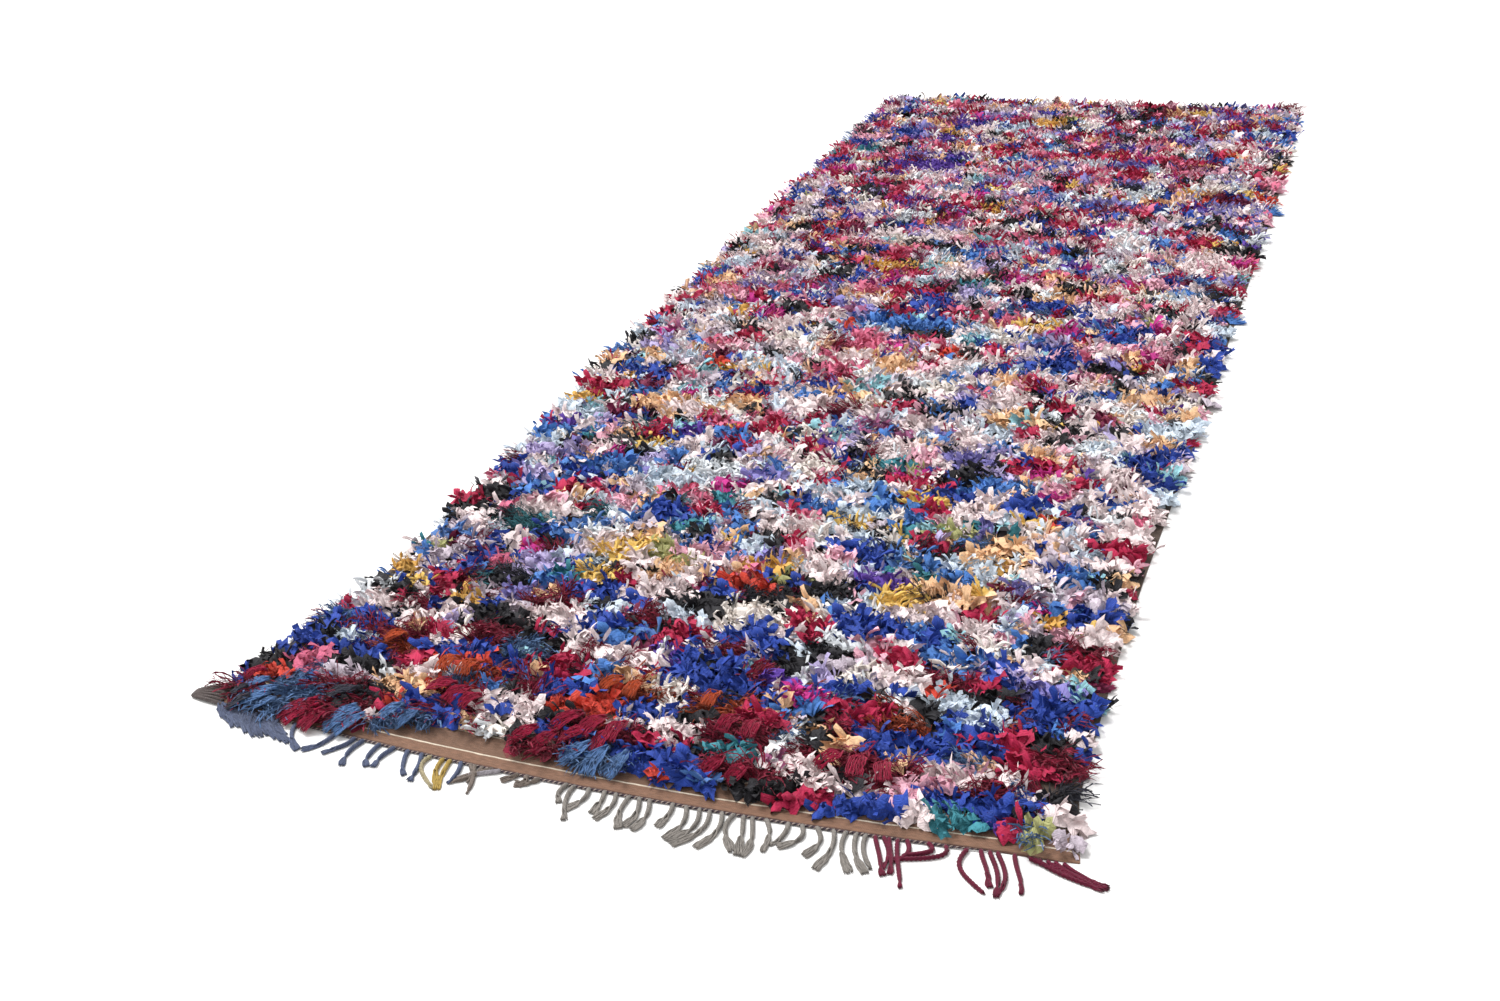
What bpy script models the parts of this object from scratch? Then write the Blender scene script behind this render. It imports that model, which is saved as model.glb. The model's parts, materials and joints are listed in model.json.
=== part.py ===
"""A boucherouite rug lying flat: a woven ground, a shag of rag knots, a twined end cord and its warp fringe.

Lengths are in metres, +Z is up and +Y runs from the fringed near end to the far end.
"""

import math
import random
from collections.abc import Callable
from dataclasses import dataclass

import bmesh
import bpy
from mathutils import Vector, noise

# Driving dimensions
NEAR_WIDTH = 1.400
LENGTH = 3.645
HALF_WIDTH = NEAR_WIDTH / 2
NEAR_BOW = 0.040
FAR_WAVE = 0.006
GROUND_THICK = 0.0026
GAP = 0.0003
CORD_RADIUS = 0.0022
CORD_ROOM = 0.00227
BACKING_WIDTH = 0.0030
BACKING_THICK = 0.0030

# How far each side lies inside the near width: (distance from the near end, inset)
LEFT_INSETS = ((0.0, 0.046), (0.50, 0.100), (1.75, 0.068), (LENGTH, 0.062))
RIGHT_INSETS = ((0.0, -0.010), (0.16, 0.020), (0.60, 0.026), (1.40, 0.012), (3.00, 0.002), (LENGTH, 0.012))
# How much flat-woven end shows in front of the shag: (distance from the left corner, depth)
KILIM_DEPTHS = ((0.05, 0.046), (0.14, 0.022), (0.24, 0.024), (0.38, 0.050), (1.12, 0.050), (1.27, 0.032), (1.40, 0.034))

# The shag
PILE_ACROSS = 36
PILE_ALONG = 98
RIM_CUTS = 2
PILE_HEIGHT = 0.0270
RIM_HEIGHT = 0.0200
LOCK_HEIGHT = 0.0065
LUMP_SIZE = 0.085
LUMP_HEIGHT = 0.0050
TUFT_ROUGHNESS = 0.0030
RIM_BAND = 0.035
RIM_LUMP_SHARE = 0.4
LOCK_REACH = (0.010, 0.027)
KILIM_CLEARANCE = 0.006
UNDERCUT = 0.0020
SEED = 11

# The fringe
STRAND_WIDTH = 0.0045
TASSEL_WIDTH = 0.0085
TIP_WIDTH = 0.0050
STRAND_HEIGHT = 0.0034
TIP_HEIGHT = 0.0022
TIP_PITCH = 0.0100
STRAND_STEPS = 5
TASSEL_SHARE = 0.75
DRIFT_POWER = 1.5
REACH_POWER = 1.6
REACH_SPREAD = (-0.004, 0.010)
BACKING_MARGIN = 0.004
OUTLINE_STEPS = 30


@dataclass(frozen=True)
class Clump:
    """Strands that lie together: root stretch from the left corner, count, sideways drift, reach and fan."""

    first: float
    last: float
    strands: int
    drift: float
    reach: float
    fan: float = 0.0


@dataclass(frozen=True)
class Edge:
    """A line that a fringe grows from: its y at x, the x its distances start from and the room it keeps."""

    line: Callable[[float], float]
    start: float
    room: float


@dataclass(frozen=True)
class Finish:
    """A plain material: colour in linear RGB and roughness."""

    name: str
    colour: tuple[float, float, float]
    roughness: float


FRINGES = {
    "fringe_blue_grey": (
        Finish("blue_grey_warp", (0.150, 0.180, 0.285), 0.9),
        (
            Clump(0.116, 0.206, 7, 0.026, 0.052),
            Clump(0.232, 0.330, 7, -0.014, 0.054),
            Clump(0.346, 0.398, 4, -0.002, 0.058),
            Clump(0.415, 0.446, 3, 0.012, 0.062),
        ),
    ),
    "fringe_gold": (
        Finish("gold_warp", (0.450, 0.340, 0.130), 0.9),
        (Clump(0.463, 0.496, 3, 0.018, 0.074),),
    ),
    "fringe_mixed": (
        Finish("mixed_warp", (0.320, 0.280, 0.255), 0.9),
        (
            Clump(0.512, 0.572, 5, 0.002, 0.050),
            Clump(0.604, 0.646, 4, -0.004, 0.024),
        ),
    ),
    "fringe_grey": (
        Finish("grey_warp", (0.370, 0.350, 0.310), 0.9),
        (
            Clump(0.694, 0.722, 3, 0.018, 0.082),
            Clump(0.742, 0.776, 3, 0.004, 0.056),
            Clump(0.790, 0.824, 3, 0.004, 0.068),
            Clump(0.846, 0.906, 5, -0.008, 0.076),
            Clump(0.922, 0.966, 4, 0.006, 0.080),
            Clump(0.984, 1.012, 3, 0.006, 0.068),
            Clump(1.034, 1.062, 3, -0.008, 0.062),
            Clump(1.080, 1.126, 4, 0.014, 0.082),
        ),
    ),
    "fringe_burgundy": (
        Finish("burgundy_warp", (0.150, 0.005, 0.030), 0.85),
        (
            Clump(1.144, 1.174, 3, 0.018, 0.086),
            Clump(1.196, 1.234, 4, -0.004, 0.052),
            Clump(1.256, 1.298, 4, 0.020, 0.088),
            Clump(1.316, 1.328, 2, 0.020, 0.076),
            Clump(1.344, 1.394, 5, 0.082, 0.016, 0.0095),
        ),
    ),
}
CORNER_TAIL = (
    Finish("grey_brown_warp", (0.165, 0.125, 0.105), 0.9),
    (Clump(0.005, 0.035, 4, 0.0, 0.044),),
)
CORNER_TAIL_TOP = 0.042


def eased(stops: tuple[tuple[float, float], ...], place: float) -> float:
    """The value at a place between named stops, level at each stop and smooth between them."""
    if place <= stops[0][0]:
        return stops[0][1]
    for (start, low), (end, high) in zip(stops, stops[1:]):
        if place <= end:
            share = (place - start) / (end - start)
            return low + (high - low) * share * share * (3 - 2 * share)
    return stops[-1][1]


def near_edge(x: float) -> float:
    """The bowed near edge of the ground at x."""
    return -NEAR_BOW * (1 - (x / HALF_WIDTH) ** 2)


def left_edge(y: float) -> float:
    """The left selvedge at y."""
    return -HALF_WIDTH + eased(LEFT_INSETS, y)


def right_edge(y: float) -> float:
    """The right selvedge at y."""
    return HALF_WIDTH - eased(RIGHT_INSETS, y)


def far_edge(x: float) -> float:
    """The far edge at x, with the slight wave of a woven end."""
    return LENGTH + FAR_WAVE * noise.noise(Vector((x * 4, 0.5, 0.0)))


def on_rug(across: float, along: float, near_margin: float = 0.0) -> tuple[float, float]:
    """The point at shares across and along the ground, with a share of 0 set in from the near edge."""
    y = along * LENGTH
    x = left_edge(y) + across * (right_edge(y) - left_edge(y))
    start = near_edge(x) + near_margin
    return x, start + along * (far_edge(x) - start)


def material(finish: Finish) -> bpy.types.Material:
    """A Principled material with the finish's colour and roughness."""
    made = bpy.data.materials.new(finish.name)
    made.use_nodes = True
    shader = made.node_tree.nodes["Principled BSDF"]
    shader.inputs["Base Color"].default_value = (*finish.colour, 1.0)
    shader.inputs["Roughness"].default_value = finish.roughness
    shader.inputs["Metallic"].default_value = 0.0
    made.diffuse_color = (*finish.colour, 1.0)
    return made


def add_object(name: str, data: bpy.types.ID, finish: Finish, home: bpy.types.Collection) -> bpy.types.Object:
    """Links a new object with one material to the rug's collection."""
    data.materials.append(material(finish))
    made = bpy.data.objects.new(name, data)
    home.objects.link(made)
    return made


def add_mesh(
    name: str, bm: bmesh.types.BMesh, finish: Finish, home: bpy.types.Collection
) -> bpy.types.Object:
    """Turns a finished bmesh into an object, with all faces outward."""
    bmesh.ops.recalc_face_normals(bm, faces=bm.faces)
    mesh = bpy.data.meshes.new(name)
    bm.to_mesh(mesh)
    bm.free()
    return add_object(name, mesh, finish, home)


def add_ground(home: bpy.types.Collection) -> None:
    """The flat-woven ground with its kilim end and selvedges, cut from one outline."""
    steps = OUTLINE_STEPS
    sides = (
        [on_rug(step / steps, 0.0) for step in range(steps)],
        [on_rug(1.0, step / steps) for step in range(steps)],
        [on_rug(1 - step / steps, 1.0) for step in range(steps)],
        [on_rug(0.0, 1 - step / steps) for step in range(steps)],
    )
    outline = [point for side in sides for point in side]
    curve = bpy.data.curves.new("ground", "CURVE")
    curve.dimensions = "2D"
    curve.fill_mode = "BOTH"
    curve.extrude = GROUND_THICK / 2
    spline = curve.splines.new("POLY")
    spline.points.add(len(outline) - 1)
    for point, (x, y) in zip(spline.points, outline):
        point.co = (x, y, 0.0, 1.0)
    spline.use_cyclic_u = True
    finish = Finish("brown_wool_ground", (0.250, 0.150, 0.105), 0.9)
    add_object("ground", curve, finish, home).location.z = GROUND_THICK / 2


def rim_place(across: float, along: float) -> tuple[int, Vector] | None:
    """A rim point's count along its side and the way out of the rug, or None inside the rug."""
    cuts = RIM_CUTS + 1
    sides = (
        (across, along * PILE_ALONG, Vector((-1.0, 0.0, 0.0))),
        (1 - across, along * PILE_ALONG, Vector((1.0, 0.0, 0.0))),
        (along, across * PILE_ACROSS, Vector((0.0, -1.0, 0.0))),
        (1 - along, across * PILE_ACROSS, Vector((0.0, 1.0, 0.0))),
    )
    for distance, count, outward in sides:
        if distance < 1e-6:
            return round(count * cuts), outward
    return None


def pile_top(x: float, y: float, edge_distance: float) -> float:
    """The height of the shag: lumps of rag, falling towards the rim."""
    lump = noise.noise(Vector((x, y, 0.0)) / LUMP_SIZE) * LUMP_HEIGHT
    tuft = random.uniform(-TUFT_ROUGHNESS, TUFT_ROUGHNESS)
    share = min(edge_distance / RIM_BAND, 1.0)
    level = RIM_HEIGHT + (PILE_HEIGHT - RIM_HEIGHT) * share * (2 - share)
    return level + (lump + tuft) * (RIM_LUMP_SHARE + (1 - RIM_LUMP_SHARE) * share)


def shape_pile_top(bm: bmesh.types.BMesh) -> None:
    """Maps the flat grid onto the rug, raises its lumps and draws every other rim point out as a lock."""
    for vert in bm.verts:
        across, along = vert.co.x + 0.5, vert.co.y + 0.5
        margin = eased(KILIM_DEPTHS, across * NEAR_WIDTH)
        x, y = on_rug(across, along, margin)
        inside = min(across, 1 - across) * NEAR_WIDTH, min(along, 1 - along) * LENGTH
        height = pile_top(x, y, min(inside))
        rim = rim_place(across, along)
        if rim and rim[0] % 2:
            longest = margin - KILIM_CLEARANCE if rim[1].y < 0 else LOCK_REACH[1]
            reach = min(random.uniform(*LOCK_REACH), longest)
            vert.co = Vector((x, y, LOCK_HEIGHT)) + rim[1] * reach
        else:
            vert.co = (x, y, height)


def add_pile(home: bpy.types.Collection) -> None:
    """The shag of rag knots: a lumpy slab over the ground, with locks at its rim."""
    random.seed(SEED)
    bm = bmesh.new()
    bmesh.ops.create_grid(bm, x_segments=PILE_ACROSS, y_segments=PILE_ALONG, size=0.5)
    rim = [edge for edge in bm.edges if edge.is_boundary]
    bmesh.ops.subdivide_edges(bm, edges=rim, cuts=RIM_CUTS)
    shape_pile_top(bm)
    rim = [edge for edge in bm.edges if edge.is_boundary]
    wall = bmesh.ops.extrude_edge_only(bm, edges=rim)["geom"]
    for vert in (item for item in wall if isinstance(item, bmesh.types.BMVert)):
        spine_y = min(max(vert.co.y, HALF_WIDTH), LENGTH - HALF_WIDTH)
        inward = Vector((-vert.co.x, spine_y - vert.co.y, 0.0)).normalized()
        vert.co += inward * UNDERCUT
        vert.co.z = GROUND_THICK + GAP
    lower = [item for item in wall if isinstance(item, bmesh.types.BMEdge) and item.is_boundary]
    bmesh.ops.triangle_fill(bm, edges=lower, use_beauty=True)
    finish = Finish("rag_shag", (0.330, 0.200, 0.300), 0.85)
    add_mesh("pile", bm, finish, home)


def add_twined_edge(home: bpy.types.Collection) -> None:
    """The dark twined cord that binds the near end, lying against the ground's edge."""
    curve = bpy.data.curves.new("twined_edge", "CURVE")
    curve.dimensions = "3D"
    curve.bevel_depth = CORD_RADIUS
    curve.bevel_resolution = 1
    curve.use_fill_caps = True
    spline = curve.splines.new("POLY")
    steps = OUTLINE_STEPS + 1
    first, last = on_rug(0.0, 0.0)[0], on_rug(1.0, 0.0)[0]
    spline.points.add(steps - 1)
    for step, point in enumerate(spline.points):
        x = first + (last - first) * step / (steps - 1)
        point.co = (x, near_edge(x) - GAP - CORD_ROOM, CORD_RADIUS, 1.0)
    finish = Finish("dark_twined_wool", (0.035, 0.022, 0.035), 0.9)
    add_object("twined_edge", curve, finish, home)


def strand_sections(
    root_x: float, root_y: float, tip_x: float, reach: float
) -> list[tuple[Vector, float, float]]:
    """Centre, width and height at each step of a strand that runs out first and then sideways."""
    sections = []
    for step in range(1, STRAND_STEPS + 1):
        share = step / STRAND_STEPS
        x = root_x + (tip_x - root_x) * share**DRIFT_POWER
        y = root_y - reach * (1 - (1 - share) ** REACH_POWER)
        opened = min(share / TASSEL_SHARE, 1.0)
        closed = max((share - TASSEL_SHARE) / (1 - TASSEL_SHARE), 0.0)
        width = STRAND_WIDTH + (TASSEL_WIDTH - STRAND_WIDTH) * opened
        width += (TIP_WIDTH - TASSEL_WIDTH) * closed
        height = STRAND_HEIGHT + (TIP_HEIGHT - STRAND_HEIGHT) * closed
        sections.append((Vector((x, y, 0.0)), width, height))
    return sections


def clump_roots(clump: Clump, start: float) -> list[tuple[float, float, float]]:
    """Root x, tip x and reach of each strand of a clump, in the order of its roots."""
    middle = (clump.first + clump.last) / 2 + start
    strands = []
    for index in range(clump.strands):
        share = index / (clump.strands - 1)
        root_x = clump.first + (clump.last - clump.first) * share + start
        tip_x = middle + clump.drift + (index - (clump.strands - 1) / 2) * TIP_PITCH
        rank = index if clump.drift < 0 else clump.strands - 1 - index
        spread = 0.0 if clump.fan else random.uniform(*REACH_SPREAD)
        reach = clump.reach + clump.fan * rank + spread
        strands.append((root_x, tip_x, reach))
    return strands


def draw_strand(bm: bmesh.types.BMesh, root: bmesh.types.BMFace, tip_x: float, reach: float) -> None:
    """Extrudes a four-sided strand out of the backing's root face, resting level on the floor."""
    centre = root.calc_center_median()
    face = root
    previous = Vector((centre.x, centre.y, 0.0))
    for centre_line, width, height in strand_sections(centre.x, centre.y, tip_x, reach):
        face = bmesh.ops.extrude_discrete_faces(bm, faces=[face])["faces"][0]
        course = (centre_line - previous).normalized()
        side = Vector((-course.y, course.x, 0.0))
        middle = face.calc_center_median()
        for vert in face.verts:
            half = width / 2 if vert.co.x > middle.x else -width / 2
            level = height if vert.co.z > middle.z else 0.0
            vert.co = centre_line + side * half + Vector((0.0, 0.0, level))
        previous = centre_line


def add_fringe(
    name: str,
    finish: Finish,
    clumps: tuple[Clump, ...],
    edge: Edge,
    home: bpy.types.Collection,
) -> bpy.types.Object:
    """One colour of warp fringe: a narrow backing along an edge and the strands fused to it."""
    strands = [strand for clump in clumps for strand in clump_roots(clump, edge.start)]
    half = STRAND_WIDTH / 2
    columns = [strands[0][0] - BACKING_MARGIN - half]
    for root_x, _, _ in strands:
        columns += [root_x - half, root_x + half]
    columns.append(strands[-1][0] + BACKING_MARGIN + half)
    bm = bmesh.new()
    bmesh.ops.create_grid(bm, x_segments=len(columns) - 1, y_segments=1, size=0.5)
    for vert in bm.verts:
        x = columns[round((vert.co.x + 0.5) * (len(columns) - 1))]
        back = edge.line(x) - edge.room
        vert.co = (x, back if vert.co.y > 0 else back - BACKING_WIDTH, 0.0)
    raised = bmesh.ops.extrude_face_region(bm, geom=list(bm.faces))["geom"]
    for vert in (item for item in raised if isinstance(item, bmesh.types.BMVert)):
        vert.co.z = BACKING_THICK
    bmesh.ops.recalc_face_normals(bm, faces=bm.faces)
    for root_x, tip_x, reach in strands:
        outward = [face for face in bm.faces if face.normal.y < -0.9 and len(face.verts) == 4]
        root = min(outward, key=lambda face: abs(face.calc_center_median().x - root_x))
        draw_strand(bm, root, tip_x, reach)
    return add_mesh(name, bm, finish, home)


def add_fringes(home: bpy.types.Collection) -> None:
    """The fringe groups along the twined cord, and the tail of warp ends at the near left corner."""
    near_end = Edge(near_edge, -HALF_WIDTH, 2 * GAP + 2 * CORD_ROOM)
    for name, (finish, clumps) in FRINGES.items():
        add_fringe(name, finish, clumps, near_end, home)
    selvedge = Edge(lambda _: 0.0, 0.0, GAP)
    tail = add_fringe("corner_tail", *CORNER_TAIL, selvedge, home)
    tail.rotation_euler.z = -math.pi / 2
    tail.location = (left_edge(0.0), CORNER_TAIL_TOP, 0.0)


def centre_on_origin(home: bpy.types.Collection) -> None:
    """Moves the rug so that the middle of its bounding box stands over the origin."""
    bpy.context.view_layer.update()
    graph = bpy.context.evaluated_depsgraph_get()
    corners = []
    for piece in home.objects:
        evaluated = piece.evaluated_get(graph)
        mesh = evaluated.to_mesh()
        corners += [piece.matrix_world @ vert.co for vert in mesh.vertices]
        evaluated.to_mesh_clear()
    middle_x = (min(corner.x for corner in corners) + max(corner.x for corner in corners)) / 2
    middle_y = (min(corner.y for corner in corners) + max(corner.y for corner in corners)) / 2
    for piece in home.objects:
        piece.location.x -= middle_x
        piece.location.y -= middle_y


def main() -> None:
    """Clears the scene and builds the rug."""
    for leftover in list(bpy.data.objects):
        bpy.data.objects.remove(leftover, do_unlink=True)
    home = bpy.data.collections.new("boucherouite_rug")
    bpy.context.scene.collection.children.link(home)
    add_ground(home)
    add_pile(home)
    add_twined_edge(home)
    add_fringes(home)
    centre_on_origin(home)


if __name__ == "__main__":
    main()
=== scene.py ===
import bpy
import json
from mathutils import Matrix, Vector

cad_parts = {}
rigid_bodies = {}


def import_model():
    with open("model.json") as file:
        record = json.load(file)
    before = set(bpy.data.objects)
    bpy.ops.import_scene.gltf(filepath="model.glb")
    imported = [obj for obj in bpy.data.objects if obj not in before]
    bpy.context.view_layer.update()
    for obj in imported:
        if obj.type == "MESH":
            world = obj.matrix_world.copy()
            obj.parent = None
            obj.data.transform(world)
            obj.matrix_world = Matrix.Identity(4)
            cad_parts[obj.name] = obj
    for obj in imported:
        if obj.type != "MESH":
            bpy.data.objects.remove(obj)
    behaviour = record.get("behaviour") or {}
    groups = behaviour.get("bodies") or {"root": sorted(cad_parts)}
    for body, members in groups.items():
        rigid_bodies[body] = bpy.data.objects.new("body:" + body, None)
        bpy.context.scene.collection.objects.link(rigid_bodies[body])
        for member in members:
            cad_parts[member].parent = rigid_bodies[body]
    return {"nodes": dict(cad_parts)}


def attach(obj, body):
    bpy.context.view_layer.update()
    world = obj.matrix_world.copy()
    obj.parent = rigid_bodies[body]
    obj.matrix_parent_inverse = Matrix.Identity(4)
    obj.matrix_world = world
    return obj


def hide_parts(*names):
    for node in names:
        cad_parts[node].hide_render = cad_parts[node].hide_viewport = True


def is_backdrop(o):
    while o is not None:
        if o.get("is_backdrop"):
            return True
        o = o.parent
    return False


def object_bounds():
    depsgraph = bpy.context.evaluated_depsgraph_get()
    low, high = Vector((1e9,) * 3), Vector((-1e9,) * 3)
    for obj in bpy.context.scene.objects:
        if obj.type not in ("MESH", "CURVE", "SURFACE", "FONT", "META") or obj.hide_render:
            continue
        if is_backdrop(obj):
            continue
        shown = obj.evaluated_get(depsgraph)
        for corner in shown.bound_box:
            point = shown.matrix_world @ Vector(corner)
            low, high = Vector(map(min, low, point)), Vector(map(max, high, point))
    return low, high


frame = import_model()

"""The looks of a boucherouite rug: rag shag, flat-woven ground, twined end cord and warp fringe.

Lengths are in metres, as in the solids. +Y runs from the fringed near end to the far end and +Z is up.
Distances named "from the corner" start at the near left corner and run to the right along the near end.
"""

import json
import logging
import math
from collections.abc import Iterator
from dataclasses import dataclass, replace
from enum import Enum
from typing import Any, ClassVar

import bmesh
import bpy
import numpy as np
from mathutils import Matrix, Vector, kdtree, noise

log = logging.getLogger("rug")

MM = 0.001
CORNER_INSET = 0.046
NEAR_HALF = 0.700
NEAR_BOW = 0.040
GROUND_TOP = 0.0026

MATHS = "ShaderNodeMath"
VECTOR_MATHS = "ShaderNodeVectorMath"
MAP_RANGE = "ShaderNodeMapRange"
SEPARATE = "ShaderNodeSeparateXYZ"
COMBINE = "ShaderNodeCombineXYZ"
NOISE = "ShaderNodeTexNoise"
STORE = "GeometryNodeStoreNamedAttribute"

Link = bpy.types.Node | bpy.types.NodeSocket


def linear(colour: str) -> tuple[float, float, float, float]:
    """Turns an sRGB hex colour into linear RGBA.

    Args:
        colour: six hex digits, such as "2547B0".

    Returns:
        The linear colour with full alpha.
    """
    shares = [int(colour[place : place + 2], 16) / 255 for place in (0, 2, 4)]
    red, green, blue = (
        share / 12.92 if share <= 0.04045 else ((share + 0.055) / 1.055) ** 2.4 for share in shares
    )
    return red, green, blue, 1.0


def add(
    tree: bpy.types.NodeTree, kind: str, inputs: dict[str | int, Any] | None = None, **settings: Any
) -> bpy.types.Node:
    """Adds a node, sets its properties, and fills its inputs with values or with links.

    Args:
        tree: the tree that gets the node.
        kind: Blender's name for the node's type.
        inputs: what each input gets, by name or place, as for fill.
        settings: the node's own properties.

    Returns:
        The new node.
    """
    node = tree.nodes.new(kind)
    for name, value in settings.items():
        setattr(node, name, value)
    fill(tree, node, inputs or {})
    return node


def fill(tree: bpy.types.NodeTree, node: bpy.types.Node, inputs: dict[str | int, Any]) -> None:
    """Fills a node's inputs with values or with links.

    Args:
        tree: the tree that holds the node.
        node: the node to fill.
        inputs: for each input a value, another node's output, or a node that stands for its first output.
    """
    for key, value in inputs.items():
        source = value.outputs[0] if isinstance(value, bpy.types.Node) else value
        if isinstance(source, bpy.types.NodeSocket):
            tree.links.new(source, node.inputs[key])
        else:
            node.inputs[key].default_value = source


def new_material(name: str) -> tuple[bpy.types.Material, bpy.types.NodeTree, bpy.types.Node]:
    """Makes a Principled material.

    Args:
        name: the material's name.

    Returns:
        The material, its tree and its Principled node.
    """
    made = bpy.data.materials.new(name)
    made.use_nodes = True
    return made, made.node_tree, made.node_tree.nodes["Principled BSDF"]


def set_out(name: str, data: bpy.types.ID) -> bpy.types.Object:
    """Makes an object of a mesh, a camera or a light and links it to the scene.

    Args:
        name: the object's name.
        data: what the object holds.

    Returns:
        The new object.
    """
    made = bpy.data.objects.new(name, data)
    bpy.context.scene.collection.objects.link(made)
    return made


def eased(stops: tuple[tuple[float, float], ...], place: float) -> float:
    """The value at a place between named stops, level at each stop and smooth between them.

    Args:
        stops: places in order, each with its value.
        place: where the value is wanted.

    Returns:
        The value there.
    """
    if place <= stops[0][0]:
        return stops[0][1]
    for (start, low), (end, high) in zip(stops, stops[1:]):
        if place <= end:
            share = (place - start) / (end - start)
            return low + (high - low) * share * share * (3 - 2 * share)
    return stops[-1][1]


def dress(piece: bpy.types.Object, slot: str, nodes: tuple[str, ...]) -> None:
    """Rides a finished piece on the rug, hides the solids it stands for, and reports it with their names.

    Args:
        piece: the finished piece.
        slot: the slot's name; not used.
        nodes: the solids that it stands for.
    """
    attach(piece, "root")
    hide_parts(*nodes)
    log.info("%s: %d faces for %s", piece.name, len(piece.data.polygons), ", ".join(nodes))


class Recipe:
    """A Geometry Nodes tree with named inputs, run on an object and turned into a plain mesh."""

    def __init__(self, name: str, sockets: dict[str, str], columns: dict[str, str]) -> None:
        """Makes the tree with its inputs and what it reads.

        Args:
            name: the tree's name.
            sockets: each input's name and its socket type.
            columns: each attribute that the tree reads and its data type.
        """
        self.tree = bpy.data.node_groups.new(name, "GeometryNodeTree")
        interface = self.tree.interface
        interface.new_socket("Geometry", in_out="INPUT", socket_type="NodeSocketGeometry")
        self.identifiers = {
            key: interface.new_socket(key, in_out="INPUT", socket_type=kind).identifier
            for key, kind in sockets.items()
        }
        interface.new_socket("Geometry", in_out="OUTPUT", socket_type="NodeSocketGeometry")
        self.inputs = self.tree.nodes.new("NodeGroupInput").outputs
        self.own = {
            key: add(self.tree, "GeometryNodeInputNamedAttribute", {"Name": key}, data_type=kind)
            for key, kind in columns.items()
        }

    def finish(self, geometry: Link) -> None:
        """Ends the tree in realized instances, their smooth shading and their material.

        Args:
            geometry: what the tree has made.
        """
        real = add(self.tree, "GeometryNodeRealizeInstances", {"Geometry": geometry})
        shaded = add(self.tree, "GeometryNodeSetShadeSmooth", {"Geometry": real, "Shade Smooth": True})
        worn = add(
            self.tree,
            "GeometryNodeSetMaterial",
            {"Geometry": shaded, "Material": self.inputs["Material"]},
        )
        add(self.tree, "NodeGroupOutput", {0: worn})

    def run(self, source: bpy.types.Object, name: str, **values: Any) -> bpy.types.Object:
        """Runs the tree on a source object and keeps only the plain result.

        Args:
            source: the object whose geometry goes in; it is removed.
            name: the name of the finished piece.
            values: the named inputs, with spaces as underscores.

        Returns:
            The finished piece, a plain mesh object at the origin.
        """
        modifier = source.modifiers.new(name, "NODES")
        modifier.node_group = self.tree
        for key, value in values.items():
            modifier[self.identifiers[key.replace("_", " ")]] = value
        graph = bpy.context.evaluated_depsgraph_get()
        mesh = bpy.data.meshes.new_from_object(
            source.evaluated_get(graph), preserve_all_data_layers=True, depsgraph=graph
        )
        bpy.data.objects.remove(source, do_unlink=True)
        mesh.name = name
        for column in self.own:
            if column in mesh.attributes:
                mesh.attributes.remove(mesh.attributes[column])
        mesh.uv_layers["OFBake"].active_render = True
        return set_out(name, mesh)


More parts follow.
